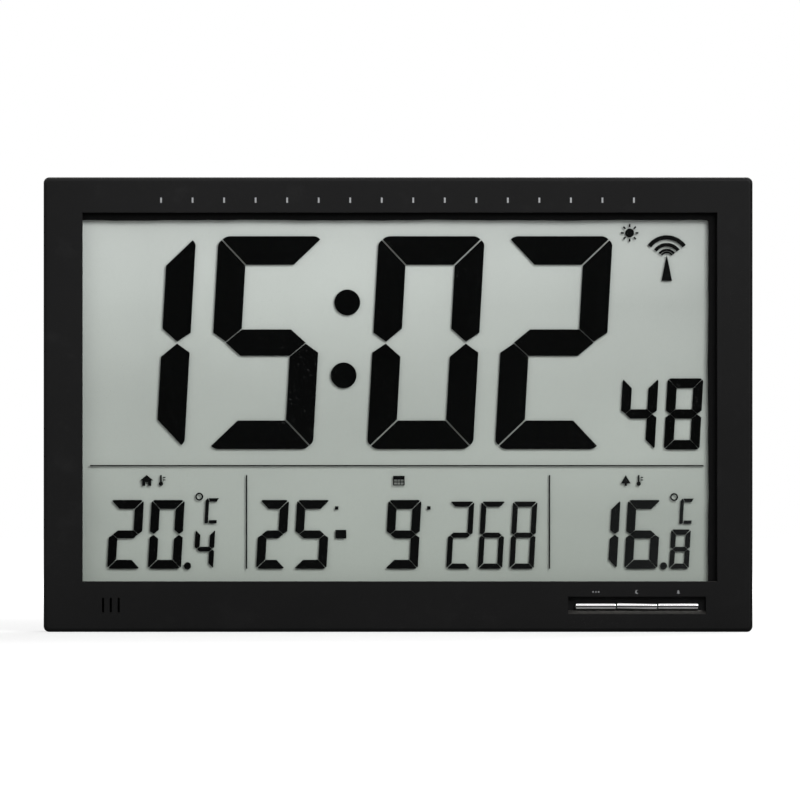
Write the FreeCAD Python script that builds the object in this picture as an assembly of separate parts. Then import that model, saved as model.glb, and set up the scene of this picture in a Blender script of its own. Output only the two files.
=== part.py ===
import FreeCAD, Part
import math
import os

os.makedirs("parts", exist_ok=True)

# Case: front towards -Y, top towards +Z, bottom face on Z = 0
CASE_W = 368.0
CASE_H = 236.0
CASE_D = 30.0
CORNER_R = 3.0
FRONT_ROUND = 2.0
BACK_ROUND = 2.5
SIDE_WALL = 2.2
FACE_WALL = 2.5
BACK_WALL = 2.2
BEZEL_D = 18.0
LAP_D = 2.5
LAP_T = 1.0
LAP_GAP = 0.15
SEAM_BEVEL = 0.3

# Borders of the bezel around its window, and the depth of the window
BORDER_LEFT = 20.2
BORDER_RIGHT = 18.5
BORDER_TOP = 18.4
BORDER_BOTTOM = 26.25
WINDOW_D = 5.6
WINDOW_BEVEL = 0.25
LIP_T = 1.8

# Display: layers from the front backwards, and how far the glass runs past the window
GASKET_T = 1.0
GASKET_SHOWS_TOP = 3.9
GASKET_SHOWS_RIGHT = 4.5
GASKET_HIDDEN = 0.6
GASKET_INSET = 0.5
POLARISER_T = 0.3
POLARISER_INSET = 1.0
GLASS_T = 1.1
LAYER_T = 0.2
SEAL_W = 1.0
REFLECTOR_T = 0.4
GLASS_SIDE = 6.0
GLASS_TOP = 4.4
GLASS_FOOT = 4.0
LEDGE_H = 2.9

# Tray behind the display
TRAY_T = 1.5
TRAY_RIM = 1.2
TRAY_GAP = 0.3
TRAY_RIB_H = 1.0
TRAY_RIB_W = 1.2
TRAY_RIB_PITCH = 44.0
EAR_R = 3.4
EAR_Z = (62.0, 174.0)

# Elastomer strip between the ledge of the front glass and the main board
STRIP_L = 150.0
STRIP_T = 2.0
STRIP_H = 5.0
STRIP_FOOT = 0.6
STRIP_LEFT = -135.0

# Digits, as wide, tall and thick as they are lit; LEAN is the slope of their uprights
LEAN = 0.0556
BIG = {"w": 55.1, "h": 110.6, "bar": 14.85, "side": 14.75, "mid": 13.7, "gap": 0.48, "r": 5.7}
SECONDS = {"w": 18.6, "h": 37.0, "bar": 5.0, "side": 5.0, "mid": 4.8, "gap": 0.17, "r": 1.9}
SMALL = {"w": 17.2, "h": 35.7, "bar": 4.6, "side": 4.5, "mid": 4.1, "gap": 0.25, "r": 1.7}
NARROW = {"w": 15.2, "h": 35.7, "bar": 4.6, "side": 4.6, "mid": 4.1, "gap": 0.25, "r": 1.7}
SLIM = {"w": 12.7, "h": 34.9, "bar": 2.7, "side": 2.7, "mid": 2.6, "gap": 0.28, "r": 1.2}
TENTH = {"w": 10.2, "h": 20.4, "bar": 2.7, "side": 2.6, "mid": 2.4, "gap": 0.25, "r": 1.1}
FIELD_LEFT = 0.4
FIELD_DOWN = 0.25
NOSE_OUT = 0.35
NOSE_IN = 0.46
BIG_BASE = 68.9
SECONDS_BASE = 68.65
ROW_BASE = 6.75
COLON_R = 6.7
POINT_R = 1.85

# Front button pocket, its three buttons and their switches
POCKET_W = 71.5
POCKET_H = 9.1
POCKET_D = 4.8
POCKET_Z = 9.3
POCKET_RIGHT = 24.2
POCKET_WALL = 1.5
POCKET_SLOPE = 2.0
BUTTON_L = 21.0
BUTTON_H = 3.0
BUTTON_GAP = 0.4
BUTTON_UP = 0.57
BUTTON_PROUD = 4.1
BUTTON_SLACK = 0.4
CROWN_R = 2.1
BUTTON_END_R = 0.5
BUTTON_TILT = (0.0, 1.1, 0.0)
GROOVE_DROP = 0.15
GROOVE_W = 0.6
GROOVE_D = 0.45
FLANGE_OUT = 1.2
FLANGE_T = 1.2
SEAT_GAP = 0.1
STEM_L = 1.0
STEM_R = 1.5
SWITCH_W = 6.0
SWITCH_H = 3.5
PLUNGER_R = 1.7
PLUNGER_OUT = 0.5
PLUNGER_IN = 1.1
PLUNGER_SLACK = 0.05
WELL_SPARE = 0.7
BOARD_T = 1.6
BUTTON_BOARD_Z = (5.0, 19.4)
BUTTON_POST_R = 2.6
BUTTON_POST_OUT = 3.4

# Sound slots and the buzzer behind them
SLOT_X = (-153.1, -149.1, -145.0)
SLOT_Z = (10.1, 17.7)
SLOT_W = 1.15
BUZZER_R = 6.0
BUZZER_H = 6.0
BUZZER_RING = 1.0
BUZZER_RING_D = 2.9
BUZZER_SLACK = 0.1
BUZZER_PORT_R = 1.0

# Screw bosses and posts around the case
BOSS_R = 3.4
BOSS_CLEAR = 1.4
POST_R = 3.9
POST_FLOOR = 3.0
BEAM_H = 3.0
BEAM_W = 1.2
CASE_JOIN_D = 15.0
COUNTERBORE_R = 2.9
CASE_SCREW = {"r": 1.3, "head_r": 2.5, "head_h": 1.8}
BOARD_SCREW = {"r": 1.0, "head_r": 2.0, "head_h": 1.4}
SCREW_SLACK = 0.05
CASE_SCREW_L = 11.0
BOARD_SCREW_L = 5.0

# Keyholes that hang the case on two wall screws
HANG_X = 100.0
HANG_Z = 196.0
HANG_R = 4.5
HANG_SLOT = 2.2
HANG_RISE = 9.0
HANG_POCKET_D = 6.0
HANG_POCKET_SIDE = 1.2
POCKET_SHELL = 1.3

# Folding stand legs in wells of the rear cover
LEG_X = 110.0
LEG_W = 24.0
LEG_L = 66.0
LEG_T = 4.5
LEG_SINK = 0.3
LEG_AXIS_Z = 7.0
LEG_BARREL_R = 3.5
LEG_GAP = 0.5
LEG_STOP = 85.0
LEG_TIP_R = 4.0
LEG_SKIN = 1.6
LEG_RIB = 1.4
LEG_FINGER = 3.4
LEG_FINGER_W = 16.0
PIN_R = 1.25
PIN_SLACK = 0.06
PIN_END = 1.1

# Cells, their bay and its door
CELL_R = 7.25
CELL_L = 50.5
CELL_BEVEL = 0.5
NUB_R = 2.75
NUB_H = 1.2
CELL_GAP = 0.6
CELL_SIDE = 0.5
BAY_X = 0.0
BAY_Z = 135.0
BAY_WALL = 1.5
DIVIDER_H = 3.0
DIVIDER_T = 0.5
SPRING_ROOM = 4.2
CONTACT_T = 0.4
CONTACT_DIMPLE = 0.4
CONTACT_W = 9.0
LEAF_W = 5.0
TAB_W = 3.0
TAB_OUT = 2.5
TAB_SLACK = 0.1
TAB_RISE = 2.0
DOOR_T = 1.8
DOOR_SINK = 0.2
DOOR_LAP = 3.0
DOOR_GAP = 0.4
DOOR_BARREL_R = 2.0
DOOR_TROUGH = 0.35
DOOR_PIN_R = 1.0
DOOR_PIN_L = 1.5
DOOR_LEDGE = 1.5
DOOR_UNDER = 0.3
DOOR_FINGER = 2.4
LATCH_W = 14.0
LATCH_L = 8.0
LATCH_SLIT = 0.7
GRIP_N = 4
GRIP_PITCH = 1.8
GRIP_L = 10.0
GRIP_W = 0.8
GRIP_D = 0.4

# Rear keys
KEY_X = -140.0
KEY_Z = (106.0, 120.0, 134.0)
KEY_R = 3.5
KEY_SLACK = 0.15
KEY_SINK = 0.4
KEY_FLANGE_R = 4.6
KEY_FLANGE_T = 1.0
KEY_STEM = 0.5
KEY_BOARD_W = 14.0
KEY_BOARD_END = 11.0

# Boards, aerials and small electrical pieces
MAIN_X = (-150.0, 30.0)
MAIN_Z = (21.5, 88.0)
MAIN_PEG_X = (-144.0, -60.0, 24.0)
MAIN_PEG_Z = (36.0, 82.0)
PEG_R = 2.6
PEG_FLOOR = 0.5
BLOB_R = 7.0
BLOB_H = 1.8
CRYSTAL_R = 1.5
CRYSTAL_L = 8.0
CRYSTAL_POINTS = ((-100.0, 60.0), (-40.0, 66.0))
CAN_R = 2.5
CAN_H = 5.4
CAN_POINTS = ((-20.0, 50.0), (-12.0, 50.0), (6.0, 60.0))
ROD_R = 4.0
ROD_L = 80.0
ROD_Z = 209.0
COIL_R = 5.8
COIL_L = 26.0
CLIP_T = 3.0
CLIP_X = 32.0
CLIP_WALL = 2.0
CLIP_WRAP = 0.6
CLIP_MOUTH = 0.85
ROD_SLACK = 0.05
ROD_SINK = 0.4
RECEIVER_X = (-12.0, 12.0)
RECEIVER_Z = (180.0, 194.0)
SENSOR_X = (124.0, 162.0)
SENSOR_Z = (180.0, 198.0)
AERIAL_R = 2.5
AERIAL_BORE = 1.7
SMALL_BOARD_T = 1.0
STANDOFF_H = 2.5
STANDOFF_R = 2.2
STANDOFF_INSET = 0.4
BEAD_R = 1.3
WIRE_R = 0.25

# Leads and ribbons between the boards
LEAD_R = 0.6
LEAD_X = (14.0, 18.0)
LEAD_END = 8.0
PLUS_RISE = 5.0
PLUS_DIP = 1.0
MINUS_RISE = 12.0
MINUS_DIP = 6.0
BUZZER_LEAD_R = 0.4
BUZZER_LEAD_X = (1.5, 3.5)
BUZZER_LEAD_TURN = 3.2
BUZZER_LEAD_END = 5.0
COIL_LEAD_R = 0.3
COIL_LEAD_IN = 2.5
COIL_LEAD_RISE = 3.0
COIL_LEAD_END = 4.0
COIL_LEAD_UP = 0.8
LEAD_LIFT = 0.05
RIBBON_T = 0.5
RIBBON_W = 3.4
RIBBON_SPARE = 0.6
PLUG_W = 4.6
PLUG_L = 4.0
PLUG_H = 3.0
PLUG_X = 24.0
PLUG_EDGE = 4.0
PLUG_DOWN = 11.0
PLUG_LAP = 1.0
RIBBON_FOLD = 4.0
RIBBON_END = 6.0

# Vents in the rear cover
VENT_X = -156.0
VENT_Z = (24.0, 38.0)
VENT_N = 5
VENT_W = 1.6
VENT_PITCH = 4.0

# Planes and limits that follow from the sizes above
FRONT = -CASE_D / 2
BACK = CASE_D / 2
SEAM = FRONT + BEZEL_D
FACE_IN = FRONT + FACE_WALL
BACK_IN = BACK - BACK_WALL
HALF_W = CASE_W / 2
INNER_R = max(CORNER_R - SIDE_WALL, 0.5)
WIN_X0 = -HALF_W + BORDER_LEFT
WIN_X1 = HALF_W - BORDER_RIGHT
WIN_Z0 = BORDER_BOTTOM
WIN_Z1 = CASE_H - BORDER_TOP
FIELD_X0 = WIN_X0 - FIELD_LEFT
FIELD_Z0 = WIN_Z0 - FIELD_DOWN
LIP_Y = FRONT + WINDOW_D - GASKET_T
POLARISER_Y = FRONT + WINDOW_D
GLASS_Y = POLARISER_Y + POLARISER_T
LAYER_Y = GLASS_Y + GLASS_T
REAR_GLASS_Y = LAYER_Y + LAYER_T
REFLECTOR_Y = REAR_GLASS_Y + GLASS_T
TRAY_Y = REFLECTOR_Y + REFLECTOR_T
TRAY_BACK = TRAY_Y + TRAY_T
GLASS_X0 = WIN_X0 - GLASS_SIDE
GLASS_X1 = WIN_X1 + GLASS_SIDE
GLASS_Z0 = WIN_Z0 - GLASS_FOOT
GLASS_Z1 = WIN_Z1 + GLASS_TOP
REAR_GLASS_Z0 = GLASS_Z0 + LEDGE_H
MAIN_Y = LAYER_Y + STRIP_H
MAIN_BACK = MAIN_Y + BOARD_T
JOIN_Y = FRONT + CASE_JOIN_D
BOSS_X = HALF_W - SIDE_WALL - BOSS_R - BOSS_CLEAR
BOSS_Z0 = SIDE_WALL + BOSS_R + BOSS_CLEAR
BOSS_Z1 = CASE_H - SIDE_WALL - BOSS_R - BOSS_CLEAR
CASE_POINTS = [(x, z) for x in (-BOSS_X, 0.0, BOSS_X) for z in (BOSS_Z0, BOSS_Z1)]
CASE_POINTS += [(x, CASE_H / 2) for x in (-BOSS_X, BOSS_X)]
EAR_POINTS = [(x, z) for x in (-BOSS_X, BOSS_X) for z in EAR_Z]
MAIN_PEGS = [(x, z) for x in MAIN_PEG_X for z in MAIN_PEG_Z]

POCKET_X1 = HALF_W - POCKET_RIGHT
POCKET_X0 = POCKET_X1 - POCKET_W
POCKET_Z1 = POCKET_Z + POCKET_H
POCKET_FLOOR = FRONT + POCKET_D
POCKET_BACK = POCKET_FLOOR + POCKET_WALL
BUTTON_ROW = 3 * BUTTON_L + 2 * BUTTON_GAP
BUTTON_X0 = (POCKET_X0 + POCKET_X1 - BUTTON_ROW) / 2
BUTTON_Z0 = POCKET_Z + POCKET_SLOPE + BUTTON_UP
BUTTON_ZC = BUTTON_Z0 + BUTTON_H / 2
BUTTON_XC = [BUTTON_X0 + BUTTON_L / 2 + i * (BUTTON_L + BUTTON_GAP) for i in range(3)]
FLANGE_Y = POCKET_BACK + SEAT_GAP
STEM_END = FLANGE_Y + FLANGE_T + STEM_L
SWITCH_FACE = STEM_END + PLUNGER_OUT
BUTTON_BOARD_Y = SWITCH_FACE + SWITCH_H
BUTTON_BOARD_BACK = BUTTON_BOARD_Y + BOARD_T
BUTTON_POSTS = [(POCKET_X0 - POCKET_WALL - BUTTON_POST_OUT, BUTTON_ZC),
                (POCKET_X1 + POCKET_WALL + BUTTON_POST_OUT, BUTTON_ZC)]

SLOT_ZC = sum(SLOT_Z) / 2
SLOT_XC = sum(SLOT_X) / len(SLOT_X)

LEG_AXIS_Y = BACK - LEG_SINK - LEG_BARREL_R
LEG_INNER = BACK - LEG_SINK - LEG_T
WELL_FLOOR = LEG_INNER - LEG_GAP
WELL_HALF = LEG_W / 2 + LEG_GAP
WELL_TOP = LEG_AXIS_Z + LEG_L + LEG_GAP
TROUGH_R = LEG_BARREL_R + LEG_GAP
STOP_EDGE = math.radians(LEG_STOP) - math.acos(LEG_BARREL_R / TROUGH_R)
SILL_Z = LEG_AXIS_Z - TROUGH_R * math.sin(STOP_EDGE)

DOOR_FACE = BACK - DOOR_SINK
DOOR_INNER = DOOR_FACE - DOOR_T
DOOR_SEAT = DOOR_INNER - SEAT_GAP
CELL_PITCH = 2 * CELL_R + CELL_GAP
CELL_Y = DOOR_INNER - DOOR_UNDER - CELL_R
BAY_FLOOR = CELL_Y - CELL_R - DOOR_UNDER
BAY_HALF_X = (CELL_L + SPRING_ROOM + CONTACT_T + CONTACT_DIMPLE) / 2
BAY_HALF_Z = CELL_PITCH / 2 + CELL_R + CELL_SIDE
TAB_Y = BAY_FLOOR + TAB_RISE
DOOR_HALF_X = BAY_HALF_X + DOOR_LAP
DOOR_HALF_Z = BAY_HALF_Z + DOOR_LAP
DOOR_AXIS_Y = DOOR_FACE - DOOR_BARREL_R
DOOR_AXIS_Z = BAY_Z - DOOR_HALF_Z + DOOR_BARREL_R

KEY_TOP = BACK - KEY_SINK
KEY_FLANGE_TOP = BACK_IN - SEAT_GAP
KEY_STEM_END = KEY_FLANGE_TOP - KEY_FLANGE_T - KEY_STEM
KEY_SWITCH_FACE = KEY_STEM_END - PLUNGER_OUT
KEY_BOARD_TOP = KEY_SWITCH_FACE - SWITCH_H
KEY_BOARD_Y = KEY_BOARD_TOP - BOARD_T
KEY_POSTS = [(KEY_X, KEY_Z[0] - KEY_BOARD_END + 3.0), (KEY_X, KEY_Z[-1] + KEY_BOARD_END - 3.0)]

ROD_Y = BACK_IN - COIL_R - ROD_SINK
SMALL_BOARD_TOP = BACK_IN - STANDOFF_H
SMALL_BOARD_Y = SMALL_BOARD_TOP - SMALL_BOARD_T


def box(x0, x1, y0, y1, z0, z1):
    """Block between two limits along each axis."""
    return Part.makeBox(x1 - x0, y1 - y0, z1 - z0, FreeCAD.Vector(x0, y0, z0))


def rod_y(radius, x, z, y0, y1):
    """Round bar along Y."""
    return Part.makeCylinder(radius, y1 - y0, FreeCAD.Vector(x, y0, z), FreeCAD.Vector(0, 1, 0))


def rod_x(radius, y, z, x0, x1):
    """Round bar along X."""
    return Part.makeCylinder(radius, x1 - x0, FreeCAD.Vector(x0, y, z), FreeCAD.Vector(1, 0, 0))


def plate(x0, x1, z0, z1, y0, y1, radius):
    """Block whose four edges along Y are rounded."""
    shape = box(x0, x1, y0, y1, z0, z1)
    edges = [e for e in shape.Edges if abs(e.Vertexes[0].Y - e.Vertexes[1].Y) > (y1 - y0) / 2]
    return shape.makeFillet(radius, edges)


def union(shapes):
    """All the shapes as one solid."""
    return shapes[0].multiFuse(shapes[1:]).removeSplitter()


def edges_at(shape, y):
    """Edges that lie in the plane at y."""
    return [e for e in shape.Edges if all(abs(v.Y - y) < 1e-6 for v in e.Vertexes)]


def prism_x(points, x0, x1):
    """Outline given as (y, z) points, drawn out along X."""
    loop = [FreeCAD.Vector(x0, y, z) for y, z in points]
    face = Part.Face(Part.makePolygon(loop + loop[:1]))
    return face.extrude(FreeCAD.Vector(x1 - x0, 0, 0))


def prism_y(points, y0, y1):
    """Outline given as (x, z) points, drawn out along Y."""
    loop = [FreeCAD.Vector(x, y0, z) for x, z in points]
    face = Part.Face(Part.makePolygon(loop + loop[:1]))
    return face.extrude(FreeCAD.Vector(0, y1 - y0, 0))


def screw(x, z, seat, length, size, side=1):
    """Screw along Y whose head rests at seat; side is +1 when the head is at the back."""
    tip = seat - side * length
    top = seat + side * size["head_h"]
    head = rod_y(size["head_r"], x, z, min(seat, top), max(seat, top))
    shank = rod_y(size["r"], x, z, min(seat, tip), max(seat, tip))
    return union([head, shank])


def pilot(size, x, z, y0, y1):
    """Hole along Y for the shank of a screw."""
    return rod_y(size["r"] + SCREW_SLACK, x, z, y0, y1)


def save(name, shape):
    """Write one sub-part."""
    shape.exportStep("parts/" + name + ".step")


def group(shapes):
    """Separate like pieces that share one name."""
    return Part.makeCompound(shapes)


def front_bezel():
    """Front shell: face with its window, button pocket, sound slots, bosses and lap rebate."""
    shell = plate(-HALF_W, HALF_W, 0, CASE_H, FRONT, SEAM, CORNER_R)
    shell = shell.makeFillet(FRONT_ROUND, edges_at(shell, FRONT))
    shell = shell.makeChamfer(SEAM_BEVEL, edges_at(shell, SEAM))
    hollow = plate(-HALF_W + SIDE_WALL, HALF_W - SIDE_WALL, SIDE_WALL, CASE_H - SIDE_WALL,
                   FACE_IN, SEAM + 1, INNER_R)
    rebate_in = SIDE_WALL - LAP_T - LAP_GAP
    rebate = plate(-HALF_W + rebate_in, HALF_W - rebate_in, rebate_in, CASE_H - rebate_in,
                   SEAM - LAP_D - LAP_GAP, SEAM + 1, INNER_R + LAP_T)
    shell = shell.cut([hollow, rebate])
    lip = box(WIN_X0 - LIP_T, WIN_X1 + LIP_T, FACE_IN - 0.1, LIP_Y, WIN_Z0 - LIP_T, WIN_Z1 + LIP_T)
    pocket_box = box(POCKET_X0 - POCKET_WALL, POCKET_X1 + POCKET_WALL, FACE_IN - 0.1, POCKET_BACK,
                     POCKET_Z - POCKET_WALL, POCKET_Z1 + POCKET_WALL)
    ring_r = BUZZER_R + BUZZER_SLACK + BUZZER_RING
    ring = rod_y(ring_r, SLOT_XC, SLOT_ZC, FACE_IN - 0.1, FACE_IN + BUZZER_RING_D)
    bosses = [rod_y(BOSS_R, x, z, FACE_IN - 0.1, JOIN_Y) for x, z in CASE_POINTS]
    ears = [rod_y(EAR_R, x, z, FACE_IN - 0.1, TRAY_Y) for x, z in EAR_POINTS]
    posts = [rod_y(BUTTON_POST_R, x, z, FACE_IN - 0.1, BUTTON_BOARD_Y) for x, z in BUTTON_POSTS]
    shell = union([shell, lip, pocket_box, ring] + bosses + ears + posts)

    window = box(WIN_X0, WIN_X1, FRONT - 1, LIP_Y + 1, WIN_Z0, WIN_Z1)
    slope = [(FRONT - 1, POCKET_Z), (FRONT, POCKET_Z), (POCKET_FLOOR, POCKET_Z + POCKET_SLOPE),
             (POCKET_FLOOR, POCKET_Z1), (FRONT - 1, POCKET_Z1)]
    pocket = prism_x(slope, POCKET_X0, POCKET_X1)
    button_slot = box(BUTTON_X0 - BUTTON_SLACK, BUTTON_X0 + BUTTON_ROW + BUTTON_SLACK,
                      FRONT, POCKET_BACK + 1,
                      BUTTON_Z0 - BUTTON_SLACK, BUTTON_Z0 + BUTTON_H + BUTTON_SLACK)
    slots = [box(x - SLOT_W / 2, x + SLOT_W / 2, FRONT - 1, FACE_IN + 1, SLOT_Z[0], SLOT_Z[1])
             for x in SLOT_X]
    well = rod_y(BUZZER_R + BUZZER_SLACK, SLOT_XC, SLOT_ZC, FACE_IN, FACE_IN + BUZZER_RING_D + 1)
    tip = JOIN_Y + POST_FLOOR - CASE_SCREW_L - 1
    pilots = [pilot(CASE_SCREW, x, z, tip, JOIN_Y + 1) for x, z in CASE_POINTS]
    pilots += [pilot(BOARD_SCREW, x, z, FACE_IN, TRAY_Y + 1) for x, z in EAR_POINTS]
    pilots += [pilot(BOARD_SCREW, x, z, FACE_IN, BUTTON_BOARD_Y + 1) for x, z in BUTTON_POSTS]
    shell = shell.cut([window, pocket, button_slot, well] + slots + pilots)
    rim = [e for e in edges_at(shell, FRONT)
           if all(WIN_X0 - 0.1 < v.X < WIN_X1 + 0.1 and WIN_Z0 - 0.1 < v.Z for v in e.Vertexes)]
    return shell.makeChamfer(WINDOW_BEVEL, rim)


def keyhole_cut(x):
    """Keyhole through the back wall: round entry with a narrow slot above it."""
    y0, y1 = BACK_IN - 1, BACK + 1
    entry = rod_y(HANG_R, x, HANG_Z, y0, y1)
    neck = box(x - HANG_SLOT, x + HANG_SLOT, y0, y1, HANG_Z, HANG_Z + HANG_RISE)
    end = rod_y(HANG_SLOT, x, HANG_Z + HANG_RISE, y0, y1)
    return union([entry, neck, end])


def hang_pocket(x, grow, y0, y1):
    """Room behind a keyhole for the head of the wall screw, grown by a wall where it is the shell."""
    side = HANG_R + HANG_POCKET_SIDE + grow
    return plate(x - side, x + side, HANG_Z - side, HANG_Z + HANG_RISE + side, y0, y1, 2.0 + grow)


def leg_well(x, grow):
    """Room for a folded leg: flat well, round trough for its barrel and a finger scoop at its tip."""
    floor = WELL_FLOOR - grow
    top = BACK_IN if grow else BACK + 1
    half = WELL_HALF + grow
    foot = SILL_Z if not grow else SILL_Z - grow
    well = box(x - half, x + half, floor, top, max(foot, SIDE_WALL / 2), WELL_TOP + grow)
    trough = rod_x(TROUGH_R + grow, LEG_AXIS_Y, LEG_AXIS_Z, x - half, x + half)
    scoop_half = LEG_FINGER_W / 2 + grow
    scoop = box(x - scoop_half, x + scoop_half, floor, top, WELL_TOP - 1, WELL_TOP + LEG_FINGER + grow)
    shape = union([well, trough, scoop])
    if grow:
        inside = box(x - 2 * half, x + 2 * half, floor - LEG_W, BACK_IN + 0.1, SIDE_WALL / 2, CASE_H)
        shape = shape.common(inside)
    return shape


def bay_shell():
    """Outer form of the battery bay, its door seat and hinge trough."""
    half_x = BAY_HALF_X + BAY_WALL
    half_z = BAY_HALF_Z + BAY_WALL
    walls = box(BAY_X - half_x, BAY_X + half_x, BAY_FLOOR - BAY_WALL, BACK_IN + 0.1,
                BAY_Z - half_z, BAY_Z + half_z)
    rim_x = DOOR_HALF_X + DOOR_GAP + BAY_WALL
    rim_z = DOOR_HALF_Z + DOOR_GAP + BAY_WALL
    rim = box(BAY_X - rim_x, BAY_X + rim_x, DOOR_SEAT - DOOR_LEDGE, BACK_IN + 0.1,
              BAY_Z - rim_z, BAY_Z + rim_z)
    trough_r = DOOR_BARREL_R + DOOR_TROUGH + BAY_WALL
    trough = rod_x(trough_r, DOOR_AXIS_Y, DOOR_AXIS_Z, BAY_X - rim_x, BAY_X + rim_x)
    below = box(BAY_X - rim_x, BAY_X + rim_x, DOOR_AXIS_Y - CELL_R, BACK_IN + 0.1, BAY_Z - rim_z, BAY_Z)
    return [walls, rim, trough.common(below)]


def bay_cuts():
    """Inside of the battery bay: cell room, door seat, hinge trough, finger scoop and tab slots."""
    room = box(BAY_X - BAY_HALF_X, BAY_X + BAY_HALF_X, BAY_FLOOR, BACK + 1,
               BAY_Z - BAY_HALF_Z, BAY_Z + BAY_HALF_Z)
    seat_x = DOOR_HALF_X + DOOR_GAP
    seat_z = DOOR_HALF_Z + DOOR_GAP
    seat = box(BAY_X - seat_x, BAY_X + seat_x, DOOR_SEAT, BACK + 1, BAY_Z - seat_z, BAY_Z + seat_z)
    trough = rod_x(DOOR_BARREL_R + DOOR_TROUGH, DOOR_AXIS_Y, DOOR_AXIS_Z, BAY_X - seat_x, BAY_X + seat_x)
    pin_reach = DOOR_HALF_X + DOOR_PIN_L + DOOR_GAP
    pins = rod_x(DOOR_PIN_R + PIN_SLACK, DOOR_AXIS_Y, DOOR_AXIS_Z, BAY_X - pin_reach, BAY_X + pin_reach)
    scoop = box(BAY_X - LATCH_W / 2, BAY_X + LATCH_W / 2, DOOR_SEAT, BACK + 1,
                BAY_Z, BAY_Z + seat_z + DOOR_FINGER)
    tabs = [tab_box(sign, TAB_SLACK) for sign in (1, -1)]
    return [room, seat, trough, pins, scoop] + tabs


def tab_box(sign, grow):
    """Solder tab of an end contact, through the wall of the bay; sign picks the upper or lower cell."""
    z = BAY_Z + sign * CELL_PITCH / 2
    x0 = BAY_X + BAY_HALF_X - grow
    return box(x0, x0 + BAY_WALL + TAB_OUT + grow, TAB_Y - grow, TAB_Y + CONTACT_T + grow,
               z - TAB_W / 2 - grow, z + TAB_W / 2 + grow)


def rod_clip(x):
    """Open saddle that holds the ferrite rod to the back wall."""
    half = ROD_R + CLIP_WALL
    body = box(x - CLIP_T / 2, x + CLIP_T / 2, ROD_Y - ROD_R * CLIP_WRAP, BACK_IN + 0.1,
               ROD_Z - half, ROD_Z + half)
    seat = rod_x(ROD_R + ROD_SLACK, ROD_Y, ROD_Z, x - CLIP_T, x + CLIP_T)
    lips = ROD_R * CLIP_MOUTH
    mouth = box(x - CLIP_T, x + CLIP_T, ROD_Y - half, ROD_Y, ROD_Z - lips, ROD_Z + lips)
    return body.cut([seat, mouth])


def board_points(limits_x, limits_z):
    """Two opposite corners of a small board, for its standoffs."""
    inset = STANDOFF_R + STANDOFF_INSET
    return [(limits_x[0] + inset, limits_z[0] + inset), (limits_x[1] - inset, limits_z[1] - inset)]


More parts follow.
